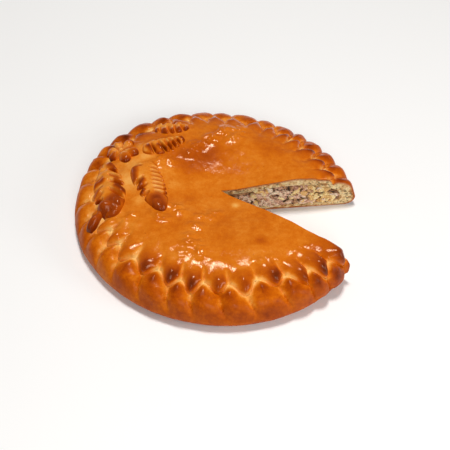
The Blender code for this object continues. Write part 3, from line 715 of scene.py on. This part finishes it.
# Brown ends of the lobes: browning and half width, then start and end
LOBE_ENDS = {
    "leaf_left": rows(
        1, 1, (0.44, 4.6, -108.5, 29, -103.5, 22.5), (0.28, 3.2, -101, 4, -95.5, 0),
        (0.50, 4.6, -98.5, -5.5, -92.5, -11), (0.42, 11, -101, -23, -99.5, -43),
        (0.42, 3.8, -115, 6, -122, 2), (0.28, 3.2, -117, -9, -122, -13),
        (0.46, 3.6, -116, -19, -118.5, -25),
    ),
    "leaf_middle": rows(
        1, 1, (0.38, 4.2, -83.8, 18, -82.8, 2.5), (0.46, 3.8, -75.2, 1, -77.2, -7),
        (0.48, 2.6, -73, -12.5, -74.2, -15), (0.44, 10, -60, -24, -53.5, -37),
        (0.28, 3.0, -58, 23.5, -52, 8), (0.42, 3.6, -52, 8, -50.5, -16),
    ),
    "leaf_back": rows(
        1, 1, (0.50, 3.8, -71.8, 51, -68, 46.2), (0.50, 4.2, -60.8, 52, -56.3, 47.8),
        (0.36, 3.2, -53.2, 54.5, -50.5, 51.2), (0.34, 3.0, -48.2, 57.5, -45.8, 54.2),
        (0.36, 2.8, -44.2, 61.5, -42.2, 58.8), (0.48, 3.6, -39.5, 64.5, -36.8, 61.8),
        (0.22, 3.6, -72.5, 66.5, -73, 70), (0.26, 3.6, -61.5, 68, -61.5, 71),
        (0.28, 3.6, -52, 71.5, -51, 74.5),
    ),
    "leaf_edge": rows(
        1, 1, (0.40, 3.6, -66.5, 82, -69.5, 79), (0.46, 4.0, -58, 78.5, -56.5, 75.5),
        (0.40, 3.6, -49.2, 78.5, -48.8, 76.2), (0.44, 3.8, -42.5, 79, -40.8, 76.5),
        (0.46, 4.0, -35, 80, -32.5, 81), (0.36, 3.8, -64.5, 94, -65, 96.5),
        (0.40, 3.8, -54.5, 95, -54.5, 97.5), (0.40, 3.8, -44, 94.5, -43.5, 97),
    ),
}
LOBE_RISE, LOBE_SINK, LOBE_CORE, LOBE_REACH = 0.0011, 0.8, 0.10, 1.35
LOBE_CALM = 0.6  # how much less the painted highlight of the lips and the painted shade of the flanks stand out on a brown end
# Smooth dark bodies at the foot of the left leaf and the tip of the middle one: half width and
# thickness, then start and end
BULBS = {
    "leaf_left": rows(0, 2, (8.4, 8.4, -110, -17, -106, -38.5), (4.4, 7.6, -103, -13, -94.5, -33)),
    "leaf_middle": rows(0, 2, (6.4, 6.2, -66, -15, -53.5, -36.5)),
}
BULB_TONES, BULB_WIDEST = (0.54, 0.68, 0.78, 0.86), 0.6
STEM, = rows(0, 2, (4.4, 6.4, -122.2, -51.5, -118, -41, -109, -30))
STEM_TONES, STEM_WIDEST, STEM_ROUNDNESS = (0.90, 0.78, 0.66, 0.72), 0.35, 0.3
DROP_ROWS, DROP_COLUMNS, DROP_FULLNESS, DROP_TONE_SHARES = 30, 16, 0.8, (0.0, 0.35, 0.8, 1.0)
# Of the dough between two petals
VALLEY_TONE, VALLEY, VALLEY_STEEPNESS, VALLEY_END = 0.24, 0.9, 2.5, (0.62, 0.9)
# Petals: browning at the end and half width, then start and end
PETALS = rows(
    1, 1, (0.92, 5.2, -100, 56.5, -89.5, 67), (0.90, 6.0, -98.5, 54, -82.5, 43.5),
    (0.88, 6.2, -99, 52.5, -93, 32.5), (0.96, 5.0, -102, 52.5, -110.5, 40.5),
    (0.70, 5.0, -102.5, 54.5, -116, 53.5), (0.86, 5.0, -101.5, 56.5, -106.5, 69),
)
PETAL_WIDEST, PETAL_BROWNING = 0.58, (0.0, 0.1, 0.7, 1.0)
FLOWER_TONE, FLOWER_THICKNESS = 0.26, 0.0060
FLOWER_MIDDLE, = rows(0, 2, (3.4, 5.4, -104.4, 54.2, -97.6, 54.2))


class Ground:
    """Height of the lid under the decorations, as it is and evened out."""

    def __init__(self, *crusts):
        trees = [
            BVHTree.FromPolygons(
                [v.co for v in crust.data.vertices], [tuple(p.vertices) for p in crust.data.polygons]
            )
            for crust in crusts
        ]
        (left, front), (right, back) = GROUND_BOX
        self.columns, self.rows = np.arange(left, right, GROUND_STEP), np.arange(front, back, GROUND_STEP)
        down = Vector((0.0, 0.0, -1.0))
        self.raw = np.array([
            [max((t.ray_cast(Vector((x, y, 0.1)), down)[0] or KNIFE_POINT).z for t in trees)
             for x in self.columns]
            for y in self.rows
        ])
        self.even = self.raw
        for _ in range(GROUND_EVENING):
            padded = np.pad(self.even, 1, mode="edge")
            self.even = sum(
                padded[1 + i:len(self.rows) + 1 + i, 1 + j:len(self.columns) + 1 + j]
                for i in (-1, 0, 1) for j in (-1, 0, 1)
            ) / 9.0

    def height(self, plan, field):
        """Height at plan places, between the four nearest points of the map."""
        column = (plan[..., 0] - self.columns[0]) / GROUND_STEP
        row = (plan[..., 1] - self.rows[0]) / GROUND_STEP
        i, j = row.astype(int), column.astype(int)
        u, v = row - i, column - j
        return (
            (1 - u) * (1 - v) * field[i, j] + u * (1 - v) * field[i + 1, j]
            + (1 - u) * v * field[i, j + 1] + u * v * field[i + 1, j + 1]
        )


class Bodies:
    """Closed bodies gathered in one mesh, with values at every point."""

    def __init__(self):
        self.places, self.faces, self.count, self.values = [], [], 0, {}

    def add(self, places, faces, **values):
        self.faces += [[int(i) + self.count for i in face] for face in faces]
        self.places.append(places)
        self.count += len(places)
        for name, value in values.items():
            self.values.setdefault(name, []).append(np.broadcast_to(value, len(places)).astype(float))

    def finish(self, name):
        data = bpy.data.meshes.new(name)
        data.from_pydata(np.concatenate(self.places).tolist(), [], self.faces)
        for attribute, values in self.values.items():
            layer = data.attributes.new(attribute, "FLOAT", "POINT")
            layer.data.foreach_set("value", np.concatenate(values))
        return data


def tube_faces(count, around):
    """Faces of a closed body made of loops of points, with a flat cap at both ends."""
    loops = np.arange(count * around).reshape(count, around)
    faces = []
    for a, b in zip(loops, loops[1:]):
        faces += zip(a, b, np.roll(b, -1), np.roll(a, -1))
    return [*faces, loops[0], loops[-1][::-1]]


def lay(bodies, ground, plan, heights, tones, gather):
    """Lays a body on the lid. Plan, heights and tones are grids of rows across it; gather is the
    plan of the midline, towards which the underside is drawn in."""
    upper, lower = plan + KNIFE_PLAN, gather + UNDER_WIDTH * (plan - gather) + KNIFE_PLAN
    base = ground.height(upper, ground.even)
    rough = ROUGH_RISE * noise_at(np.dstack([upper, base]).reshape(-1, 3), ROUGH_SIZE).reshape(base.shape)
    share = np.clip(heights / heights.max(), 0.0, 1.0)
    top = base - SINK + heights * (1.0 + SINK / heights.max()) + rough * share
    under = np.minimum(ground.height(lower, ground.raw) - UNDER_SINK, top - THINNEST)
    loops = np.concatenate([np.dstack([upper, top]), np.dstack([lower, under])[:, ::-1]], axis=1)
    tone = np.concatenate([tones, tones[:, ::-1]], axis=1).ravel()
    bodies.add(loops.reshape(-1, 3), tube_faces(*loops.shape[:2]), brown=tone, gloss=1.0)


def curve(path, share):
    """Places and directions on a quadratic curve through the plan, or on a straight line."""
    start, end = path[0], path[-1]
    bend = path[1] if len(path) == 3 else (start + end) / 2.0
    share = share[:, None]
    places = (1 - share) ** 2 * start + 2 * share * (1 - share) * bend + share**2 * end
    ahead = (bend - start) * (1 - share) + (end - bend) * share
    ahead /= norm(ahead, axis=1)[:, None]
    left = np.column_stack([-ahead[:, 1], ahead[:, 0]])
    return places[:, None], left[:, None]


def fullness(share, widest_at):
    """Rises from 0 to 1 where a leaf or drop is widest and falls back to 0."""
    share = np.clip(share, 1e-4, 1.0 - 1e-4)
    return np.sin(pi * share ** (math.log(0.5) / math.log(widest_at)))


def rounded_shares(count):
    """From -1 to 1, closer together towards both ends."""
    return -np.cos(pi * np.arange(count + 1) / count)


def drop(bodies, ground, shape, tones, widest_at=0.5, roundness=0.5, valley=0.0):
    """A plump strip, rounded at both ends; its shape is half width, thickness and a line through
    the plan. Its sides are as pale as a valley by the share given, except at its far end."""
    half_width, thickness, line = shape
    share = 0.5 + 0.5 * rounded_shares(DROP_ROWS)
    across = rounded_shares(DROP_COLUMNS)[None]
    middle, left = curve(line, share)
    full = fullness(share, widest_at)[:, None] ** roundness
    heights = thickness * full**DROP_FULLNESS * np.sqrt(1.0 - np.abs(across) ** DROP_CROWN)
    tone = np.interp(share, DROP_TONE_SHARES, tones)[:, None]
    pale = valley * np.abs(across) ** VALLEY_STEEPNESS * (1.0 - smooth(*VALLEY_END, share))[:, None]
    tone = tone + (VALLEY_TONE - tone) * pale
    lay(bodies, ground, middle + left * (across * half_width * full)[..., None], heights, tone, middle)


def slit_marks(plan, line):
    """How deep a slit is at plan places, and how near they are to the lip over it, which takes a
    painted highlight, and to the flank under it, which takes painted shade with some browning,
    from 0 to 1. It widens and deepens outwards."""
    inner, run = line[0], line[1] - line[0]
    aside = np.array((-run[1], run[0])) / norm(run)
    aside *= np.sign(aside @ LIP_SIDE)
    share = np.clip((plan - inner) @ run / (run @ run), 0.0, 1.0)
    width = SLIT_WIDTHS[0] + (SLIT_WIDTHS[1] - SLIT_WIDTHS[0]) * share
    away = norm(plan - inner - share[..., None] * run, axis=-1) / width
    offset = (plan - inner) @ aside / width
    start = smooth(0.0, SLIT_START, share)
    lip = start * bell(offset - LIP_PLACE, LIP_WIDTH) * bell(away, 2.0 * LIP_PLACE)
    flank_shade = start * share * bell(offset + FLANK_PLACE, FLANK_WIDTH) * bell(away, 2.0 * FLANK_PLACE)
    return start * np.exp(-(away**SLIT_STEEPNESS)), lip, flank_shade


def leaf(name, ground):
    """A leaf of dough, slashed from both sides into lobes that brown at their ends."""
    widest_at, half_width, thickness, midrib = LEAVES[name]
    share = np.linspace(0.0, 1.0, LEAF_ROWS + 1)[:, None]
    across = rounded_shares(LEAF_COLUMNS)[None]
    middle, left = curve(midrib, share[:, 0])
    reach = np.sqrt(np.maximum(fullness(share, widest_at), NARROWEST**2))
    whole = middle + left * (across * half_width * reach)[..., None]
    slit = np.max([slit_marks(whole, line)[0] for line, in SLITS[name]], axis=0)
    reach = reach * (1.0 - NOTCH * np.where(across < 0.0, slit[:, :1], slit[:, -1:]))
    plan = middle + left * (across * half_width * reach)[..., None]
    slit, lip, flank_shade = np.max([slit_marks(plan, line) for line, in SLITS[name]], axis=0)
    ends = brown = np.zeros(slit.shape)
    for strength, width, line in LOBE_ENDS[name]:
        away = line_distance(plan.reshape(-1, 2), line).reshape(slit.shape)
        close = 1.0 - smooth(LOBE_CORE * width, LOBE_REACH * width, away)
        ends, brown = np.maximum(ends, close), np.maximum(brown, strength * close)
    crown = np.sqrt(1.0 - np.abs(across) ** LEAF_CROWN)
    tips = np.sqrt(np.clip(np.minimum(share, 1.0 - share) / ENDS_ROUND, 0.0, 1.0))
    heights = thickness * (END_SHARE + (1.0 - END_SHARE) * reach) + LOBE_RISE * (ends - LOBE_SINK)
    heights = (heights + LIP_RISE * lip) * crown * tips * (1.0 - SLIT_DEPTH * slit)
    edge = EDGE_BROWN * smooth(*EDGE_BAND, np.abs(across)) * (1.0 - slit)
    # Slits are darkened as painted shade, the flanks under them as painted shade with some browning, and
    # the lips over them lightened as a painted highlight.
    tones = LEAF_TONE + np.maximum(brown, edge) + SLIT_SHADE * slit
    tones += (FLANK_SHADE_AND_BROWN * flank_shade - LIP_HIGHLIGHT * lip) * (1.0 - LOBE_CALM * ends)
    bodies = Bodies()
    lay(bodies, ground, plan, heights, tones, middle)
    for shape in BULBS.get(name, ()):
        drop(bodies, ground, shape, BULB_TONES, BULB_WIDEST)
    return bodies


def stem(ground):
    bodies = Bodies()
    drop(bodies, ground, STEM, STEM_TONES, STEM_WIDEST, STEM_ROUNDNESS)
    return bodies


def flower(ground):
    """Petals that are fuller and browner towards their ends, round a plain middle."""
    bodies = Bodies()
    for last_tone, half_width, line in PETALS:
        tones = [FLOWER_TONE + (last_tone - FLOWER_TONE) * share for share in PETAL_BROWNING]
        shape = (half_width, FLOWER_THICKNESS, line)
        drop(bodies, ground, shape, tones, PETAL_WIDEST, valley=VALLEY)
    drop(bodies, ground, FLOWER_MIDDLE, (FLOWER_TONE,) * 4)
    return bodies


# ---- the filling
CAVITY_OUTLINE = np.array((*CAVITY_SIDE[::-1], CAVITY_TOP, (0.034, 0.0262)))
CORE_ROWS, CORE_EVERY = 96, 16
CORE_RECESS, CORE_DROP, CORE_INSET = 0.0010, 0.0016, 0.0004
CORE_LUMP, CORE_LUMP_SIZE = 0.0022, 0.0042
CORE_FINE_LUMP, CORE_FINE_SIZE = 0.6, 0.4  # as shares of the large lumps
# How much of the core's hollows take its darkest painted shade
CORE_HOLE, CORE_HOLE_SPREAD = 0.5, 0.8
CORE_FLOOR_GAP, CORE_TUCK = 0.0003, 0.001
CORE_SHUT = (0.002, 0.010)  # from the cavity's top corner inwards, where its top comes down
CUT_FLUSH, CUT_PROUD = 0.0007, 0.34  # bits stand this far out of the cut, and this share beyond
POTATO_SPAN = (0.062, 0.098)  # radius where potato begins and where it takes over
CHICKEN_LOSS, POTATO_LEAST = 0.72, 0.12
RADII = (0.010, 0.124)
BACKS, PEPPER_BACK = (-0.0005, 0.0028), -0.0003  # depth of a bit's middle behind the cut
FIT_HEIGHT, FIT_WIDTH = 0.8, 0.7  # how much of a bit's half height and width has to fit in
BIT_TURN, BIT_TILT = 0.5, 0.55  # how much bits turn away from the cut and from level
BIT_LUMPS, SEED_STEP = ((1.0, 1.3), (0.5, 3.1)), 900.0  # share and fineness
CRACK_EDGE = 0.0013
# Bits at each cut: how many, smallest and largest half sizes, bend, roughness and mesh detail
BITS = {
    "chicken": (230, (0.0024, 0.0010, 0.0008), (0.0060, 0.0023, 0.0018), 0.35, 0.34, 2),
    "potato": (100, (0.0014, 0.0014, 0.0012), (0.0044, 0.0036, 0.0030), 0.0, 0.30, 2),
    "pepper": (120, (0.0003, 0.00025, 0.00025), (0.0013, 0.0006, 0.0006), 0.2, 0.3, 1),
}
# Gaps at the far cut, kept free of bits so that the core's painted shade shows: half width, then radius
# and height of points along each
CRACKS = rows(
    0, 1, (1.2, 95, 18.2, 105, 19.5, 113, 19, 121.5, 17), (0.9, 16, 22.5, 28, 23.5, 34, 22.8),
    (1.0, 46, 16.5, 50, 19.5), (1.0, 52, 25, 62, 26.2, 70, 25.5), (0.9, 30, 13, 38, 14.5),
    (0.9, 66, 12, 75, 11, 83, 12.5), (0.8, 80, 21.5, 88, 22.8),
)


def filling_top(cut, radius):
    return float(under_lid(cut, outline(cut) - radius))


def filling_end(cut, height):
    """How far out the filling reaches at a cut."""
    return float(outline(cut) - np.interp(height, *CAVITY_OUTLINE[:, ::-1].T))


def press_core(place):
    fine = noise.noise(place / (CORE_FINE_SIZE * CORE_LUMP_SIZE))
    lump = noise.noise(place / CORE_LUMP_SIZE) + CORE_FINE_LUMP * fine
    return CORE_RECESS - CORE_LUMP * lump, CORE_HOLE - CORE_HOLE_SPREAD * lump


def core_mesh():
    """What lies between and behind the bits, from cut to cut."""
    shell = Shell(press_core)
    bottom, corner = FLOOR_THICKNESS + CORE_FLOOR_GAP, CAVITY_TOP[1] - CORE_TUCK
    shut_from, shut_to = (CAVITY_TOP[0] + inward for inward in CORE_SHUT)
    axis = shell.axis(MIDDLE_HEIGHT - LID_MIDDLE_THICKNESS - CORE_DROP, bottom)
    phases = columns(CORE_EVERY)
    bearings = bearing_of(phases)
    plain = np.zeros(len(phases))
    skin, inside = [], []
    for k in range(1, CORE_ROWS + 1):
        share = k / CORE_ROWS
        radius = share * (outline(bearings) - CAVITY_TOP[0] - CORE_SHUT[0])
        inward = outline(bearings) - radius
        shut = smooth(shut_from, shut_to, inward)
        top = (under_lid(bearings, inward) - CORE_DROP) * shut + corner * (1.0 - shut)
        skin.append(shell.skin_row(phases, (polar(bearings, radius, top), plain, plain)))
        radius = share * (outline(bearings) - CAVITY_SIDE[2][0] + CORE_TUCK)
        inside.append(shell.plain_row(phases, polar(bearings, radius, bottom)))
    edge = shell.edge_rows(phases, skin[-1], [v.co.copy() for _, v in inside[-1]])
    for row in edge:
        for phase_here, vert in row:
            bearing = float(bearing_of(phase_here))
            vert.co = polar(bearing, filling_end(bearing, vert.co.z) - CORE_INSET, vert.co.z)
    return shell.close("filling_core", axis, skin, edge, inside)


def ball(detail):
    mesh = bmesh.new()
    bmesh.ops.create_icosphere(mesh, subdivisions=detail, radius=1.0)
    places = np.array([v.co for v in mesh.verts])
    faces = [[v.index for v in f.verts] for f in mesh.faces]
    mesh.free()
    return places, faces


def in_crack(cut, radius, height):
    here = np.array([[radius, height]])
    return cut == FAR_CUT and any(
        line_distance(here, line)[0] < width + CRACK_EDGE for width, line in CRACKS
    )


def bit_turn(cut, draw):
    return (
        Matrix.Rotation(cut + draw.normal(0.0, BIT_TURN), 3, "Z")
        @ Matrix.Rotation(draw.normal(0.0, BIT_TILT), 3, "Y")
        @ Matrix.Rotation(draw.uniform(0.0, tau), 3, "X")
    )


def fill_in(kind, draw):
    """Bits of one kind strewn over both cuts, cut off nearly flush by the knife."""
    count, smallest, largest, most_bend, rough, detail = BITS[kind]
    shape, faces = ball(detail)
    bodies = Bodies()
    for cut, side in CUTS:
        along, outwards = cut_frame(cut, side)
        made = 0
        while made < count:
            radius, height = draw.uniform(*RADII), draw.uniform(FLOOR_THICKNESS, SHOULDER_HEIGHT)
            size = draw.uniform(smallest, largest)
            far_out = smooth(*POTATO_SPAN, radius)
            chance = {
                "chicken": 1.0 - CHICKEN_LOSS * far_out,
                "potato": POTATO_LEAST + (1.0 - POTATO_LEAST) * far_out,
                "pepper": 1.0,
            }
            upright = FIT_HEIGHT * size[2]
            fits = (
                FLOOR_THICKNESS + upright < height < filling_top(cut, radius) - upright
                and radius < filling_end(cut, height) - FIT_WIDTH * size[1]
            )
            wanted = draw.uniform() < chance[kind]
            if not fits or not wanted or in_crack(cut, radius, height):
                continue
            back = draw.uniform(*BACKS) if kind != "pepper" else PEPPER_BACK
            place = KNIFE_POINT + along * radius + Vector((0, 0, height)) - outwards * back
            seed = place * SEED_STEP
            lump = sum(
                share * np.array([noise.noise(Vector(p) * fineness + seed) for p in shape])
                for share, fineness in BIT_LUMPS
            )
            body = shape * (1.0 + rough * lump)[:, None] * size
            body[:, 2] += draw.uniform(-most_bend, most_bend) * (shape[:, 0] ** 2) * size[0]
            body = body @ np.array(bit_turn(cut, draw)).T + np.array(place)
            proud = (body - np.array(KNIFE_POINT)) @ np.array(outwards) - CUT_FLUSH
            body -= (np.maximum(proud, 0.0) * (1.0 - CUT_PROUD))[:, None] * np.array(outwards)
            bodies.add(body, faces, tone=draw.uniform())
            made += 1
    return bodies


# ---- materials
def srgb(*shown):
    """A colour given as it shows on a screen, 0 to 255, as the linear colour a shader takes."""
    parts = [value / 255.0 for value in shown]
    return (*(p / 12.92 if p <= 0.04045 else ((p + 0.055) / 1.055) ** 2.4 for p in parts), 1.0)


class Shader:
    """A material with a Principled shader and short ways to add nodes."""

    def __init__(self, name, specular=0.5, subsurface=0.0, radius=(0.003, 0.0018, 0.001)):
        self.material = bpy.data.materials.new(name)
        self.material.use_nodes = True
        self.tree = self.material.node_tree
        self.surface = self.tree.nodes["Principled BSDF"]
        self.feed(self.surface, {
            "Specular IOR Level": specular, "Subsurface Weight": subsurface,
            "Subsurface Radius": radius, "Subsurface Scale": 1.0,
        })
        self.place = self.add("TexCoord", "Object", {})

    def feed(self, node, values):
        """Sets or links the sockets of a node, given by name or number."""
        for key, value in values.items():
            if isinstance(value, bpy.types.NodeSocket):
                self.tree.links.new(value, node.inputs[key])
            else:
                node.inputs[key].default_value = value

    def add(self, kind, output, values, **settings):
        node = self.tree.nodes.new("ShaderNode" + kind)
        for name, value in settings.items():
            setattr(node, name, value)
        self.feed(node, values)
        return node.outputs[output]

    def attribute(self, name):
        return self.add("Attribute", "Fac", {}, attribute_name=name)

    def stretched(self, *scale):
        return self.add("Mapping", 0, {"Vector": self.place, "Scale": scale})

    def noise(self, size, detail=4.0, roughness=0.55, place=None):
        return self.add("TexNoise", "Fac", {
            "Vector": place or self.place, "Scale": 1.0 / size, "Detail": detail, "Roughness": roughness,
        })

    def cells(self, size, place=None):
        return self.add("TexVoronoi", "Distance", {"Vector": place or self.place, "Scale": 1.0 / size})

    def math(self, operation, a, b, clamp=False):
        return self.add("Math", 0, {0: a, 1: b}, operation=operation, use_clamp=clamp)

    def fit(self, value, low, high, to_low=0.0, to_high=1.0):
        return self.add("MapRange", 0, {0: value, 1: low, 2: high, 3: to_low, 4: to_high})

    def both_ways(self, value, amount):
        """The usual range of a noise, fitted to plus and minus the amount."""
        return self.fit(value, 0.3, 0.7, -amount, amount)

    def ramp(self, value, stops):
        colour = self.add("ValToRGB", "Color", {0: value})
        ramp = colour.node.color_ramp
        ramp.interpolation = "B_SPLINE"
        while len(ramp.elements) < len(stops):
            ramp.elements.new(0.5)
        for element, (place, *shown) in zip(ramp.elements, stops):
            element.position, element.color = place, srgb(*shown)
        return colour

    def mix(self, share, a, b):
        return self.add("Mix", 2, {0: share, 6: a, 7: b}, data_type="RGBA")

    def bump(self, height, distance, under=None):
        values = {"Height": height, "Distance": distance} | ({"Normal": under} if under else {})
        return self.add("Bump", "Normal", values)

    def finish(self, colour, roughness, normal):
        self.feed(self.surface, {"Base Color": colour, "Roughness": roughness, "Normal": normal})
        return self.material


# Ramps: place of each stop and its colour as it shows
BROWNING = (
    (0.00, 252, 212, 138), (0.18, 244, 176, 84), (0.36, 224, 124, 14), (0.52, 198, 92, 4),
    (0.70, 162, 64, 3), (0.86, 126, 46, 4), (1.00, 92, 32, 4),
)
CRUMB_CLOUDS = ((0.32, 152, 96, 44), (0.44, 230, 180, 112), (0.56, 255, 238, 188), (0.72, 246, 206, 136))
# The core's colours are darkened as painted shade for the gaps between the bits.
CORE_SHADE_CLOUDS = ((0.30, 104, 66, 40), (0.45, 170, 120, 82), (0.60, 214, 166, 120), (0.75, 232, 190, 126))
GLAZE_TINT = srgb(255, 240, 214)  # of the egg wash's reflections
# Noises of the crust: size, detail and roughness
BLOTCHES, MOTTLE, GRAIN = (0.026, 5.0, 0.60), (0.0052, 6.0, 0.65), (0.0011, 3.0, 0.6)
WRINKLES, PITS, GLOSS_PATCHES = (0.0034, 4.0, 0.55), (0.0010, 3.0, 0.6), (0.008, 4.0, 0.6)
WRINKLE_DEPTH, PIT_DEPTH = 0.00018, 0.00008


def crust_material(name, washed, dry, specular, mottling):
    """Baked dough: browning from the mesh, which also holds painted shade beside the tongues and
    slits and a painted highlight on the slits' lips, broken up by blotches, mottle and specks.
    Roughness goes from dry to washed with the egg wash."""
    s = Shader(name, specular)
    s.feed(s.surface, {"Specular Tint": GLAZE_TINT})
    tone = s.math("ADD", s.attribute("brown"), s.both_ways(s.noise(*BLOTCHES), 1.3 * mottling))
    mottle = s.both_ways(s.noise(*MOTTLE), mottling)
    grain = s.both_ways(s.noise(*GRAIN), 0.03)
    tone = s.math("ADD", tone, s.math("ADD", mottle, grain), clamp=True)
    where_specks = s.fit(s.noise(0.013, 2.0), 0.52, 0.60)
    specks = s.math("MULTIPLY", s.fit(s.cells(0.006), 0.05, 0.12, 0.5, 0.0), where_specks)
    colour = s.mix(specks, s.ramp(tone, BROWNING), srgb(120, 52, 14))
    patchy = s.fit(s.noise(*GLOSS_PATCHES), 0.35, 0.65, -0.05, 0.07)
    roughness = s.math("ADD", s.fit(s.attribute("gloss"), 0.0, 1.0, dry, washed), patchy, clamp=True)
    wrinkles = s.bump(s.noise(*WRINKLES), WRINKLE_DEPTH)
    return s.finish(colour, roughness, s.bump(s.noise(*PITS), PIT_DEPTH, wrinkles))


def crumb_material():
    """Cut dough: cream crumb with pores darkened as painted shade, brown close under the skin."""
    s = Shader("cut_crumb", 0.4, 0.08)
    clouds = s.noise(0.0055, 5.0, 0.62)
    flat = s.stretched(1.0, 1.0, 1.6)
    # Pores are darkened as painted shade: fine ones from cells, larger ones from the mesh's hole value.
    crowded = s.fit(s.noise(0.009, 3.0, 0.6), 0.42, 0.60, 0.25, 1.0)
    fine_hole_shade = s.math("MULTIPLY", s.fit(s.cells(0.0016, flat), 0.16, 0.44, 1.0, 0.0), crowded)
    colour = s.mix(fine_hole_shade, s.ramp(clouds, CRUMB_CLOUDS), srgb(122, 76, 32))
    colour = s.mix(s.fit(s.attribute("hole"), 0.20, 0.75, 0.0, 0.88), colour, srgb(98, 62, 26))
    under_skin = s.fit(s.attribute("depth"), 0.0006, 0.0034, 1.0, 0.0)
    colour = s.mix(under_skin, colour, srgb(186, 94, 22))
    bump = s.bump(s.noise(0.0008, 3.0), 0.0002, s.bump(s.cells(0.0016, flat), 0.0006))
    return s.finish(colour, s.fit(clouds, 0.0, 1.0, 0.62, 0.80), bump)


def filling_material(name, stops, stain, fibre, roughness):
    """Cooked filling: a tone for each bit, broken up by strands and stains."""
    s = Shader(name, 0.5, 0.10, (0.0025, 0.0015, 0.001))
    strands = s.noise(0.0012, 4.0, 0.6, s.stretched(1.0, 1.0, fibre))
    tone = s.fit(s.attribute("tone"), 0.0, 1.0, 0.15, 0.85)
    tone = s.math("ADD", tone, s.both_ways(strands, 0.42), clamp=True)
    stained = s.fit(s.noise(0.0035, 3.0, 0.6), 0.52, 0.70, 0.0, 0.75)
    bump = s.bump(s.noise(0.0005, 2.0), 0.00012, s.bump(strands, 0.0006))
    sheen = s.fit(strands, 0.3, 0.7, roughness - 0.1, roughness + 0.1)
    return s.finish(s.mix(stained, s.ramp(tone, stops), srgb(*stain)), sheen, bump)


# The core shows in the gaps between the bits and is darkened as painted shade, darkest in its hollows.
def core_material():
    s = Shader("filling_shaded_depths", 0.4)
    clouds = s.noise(0.0040, 5.0, 0.65)
    hole_shade = s.fit(s.attribute("hole"), 0.25, 0.70, 0.0, 0.95)
    colour = s.mix(hole_shade, s.ramp(clouds, CORE_SHADE_CLOUDS), srgb(44, 28, 18))
    return s.finish(colour, s.fit(clouds, 0.0, 1.0, 0.5, 0.75), s.bump(clouds, 0.0012))


# Material, ramp of tones, stain, how long the strands are, and roughness
FILLING_LOOKS = {
    "chicken": ("pulled_chicken", (
        (0.05, 154, 94, 74), (0.35, 226, 168, 138), (0.65, 255, 222, 190), (0.95, 255, 246, 218),
    ), (150, 86, 62), 3.0, 0.45),
    "potato": ("potato", (
        (0.05, 204, 142, 68), (0.40, 244, 196, 120), (0.70, 255, 226, 156), (0.95, 255, 242, 192),
    ), (186, 124, 56), 1.0, 0.45),
    "pepper": ("pepper", (
        (0.1, 52, 34, 20), (0.4, 70, 58, 28), (0.7, 92, 58, 34), (0.9, 60, 40, 26),
    ), (44, 30, 18), 1.0, 0.5),
}


def build_pie():
    crumb = crumb_material()
    lid_looks = (crust_material("egg_washed_lid", 0.13, 0.55, 0.32, 0.045), crumb)
    lid = add_piece("lid_skin", lid_mesh(), lid_looks, ("lid_crust",))
    side_looks = (crust_material("baked_side", 0.20, 0.50, 0.14, 0.085), crumb)
    base = add_piece("base_skin", base_mesh(), side_looks, ("base_crust",))

    ground = Ground(lid, base)
    leaf_looks = (crust_material("egg_washed_leaf", 0.14, 0.5, 0.26, 0.045),)
    decorations = {name: leaf(name, ground) for name in LEAVES}
    decorations |= {"leaf_stem": stem(ground), "flower": flower(ground)}
    for name, bodies in decorations.items():
        data = bodies.finish(name + "_dough")
        add_piece(data.name, data, leaf_looks, (name,))

    core = core_material()
    add_piece("filling_core", core_mesh(), (core, core), ("filling",))
    draw = np.random.default_rng(11)
    for kind, (name, *looks) in FILLING_LOOKS.items():
        data = fill_in(kind, draw).finish(kind + "_bits")
        add_piece(data.name, data, (filling_material(name, *looks),), ("filling",))


# ---- camera and light
CAMERA_PLACE = KNIFE_POINT + Vector((0.0041, -0.5668, 0.5871))
CAMERA_AIM = KNIFE_POINT + Vector((0.0041, -0.0170, 0.0))
CAMERA_LENS, CAMERA_SENSOR = 65.6, 36.0
LIGHT_AIM = Vector((0.0, 0.0, 0.02))
# Place, size, power and colour
LIGHTS = {
    "key": ((0.00, 0.40, 2.20), 0.52, 33.0, (1.0, 0.98, 0.95)),
    "front": ((0.15, -1.00, 0.72), 0.50, 4.2, (1.0, 0.98, 0.96)),
    "side": ((0.95, -0.50, 0.45), 0.40, 2.9, (1.0, 0.98, 0.96)),
}
SKY_LIGHT = 0.15
FLOOR_SIZE, FLOOR_DROP, FLOOR_COLOUR, FLOOR_ROUGHNESS = 3.0, 0.0002, (0.96, 0.96, 0.96, 1.0), 0.6


def put(name, data, place, target):
    """Puts a camera or light in its place, turned to its target."""
    item = bpy.data.objects.new(name, data)
    item.location = place
    item.rotation_euler = (target - item.location).to_track_quat("-Z", "Y").to_euler()
    bpy.context.scene.collection.objects.link(item)
    return item


def add_camera():
    data = bpy.data.cameras.new("camera")
    data.lens, data.sensor_width = CAMERA_LENS, CAMERA_SENSOR
    bpy.context.scene.camera = put("camera", data, CAMERA_PLACE, CAMERA_AIM)


def add_lights():
    for name, (place, size, power, colour) in LIGHTS.items():
        data = bpy.data.lights.new(name, "AREA")
        data.shape, data.size, data.energy, data.color = "DISK", size, power, colour
        put(name, data, place, LIGHT_AIM)
    world = bpy.data.worlds.new("studio")
    world.use_nodes = True
    world.node_tree.nodes["Background"].inputs["Color"].default_value = (1.0, 1.0, 1.0, 1.0)
    world.node_tree.nodes["Background"].inputs["Strength"].default_value = SKY_LIGHT
    bpy.context.scene.world = world
    bpy.context.scene.view_settings.view_transform = "Standard"


def add_floor():
    mesh = bmesh.new()
    bmesh.ops.create_grid(mesh, x_segments=1, y_segments=1, size=FLOOR_SIZE)
    data = bpy.data.meshes.new("floor")
    mesh.to_mesh(data)
    mesh.free()
    floor = bpy.data.objects.new("floor", data)
    floor.location = (0.0, 0.0, -FLOOR_DROP)
    shader = Shader("pale_floor")
    shader.feed(shader.surface, {"Roughness": FLOOR_ROUGHNESS, "Base Color": FLOOR_COLOUR})
    data.materials.append(shader.material)
    bpy.context.scene.collection.objects.link(floor)


add_camera()
add_lights()
add_floor()
build_pie()
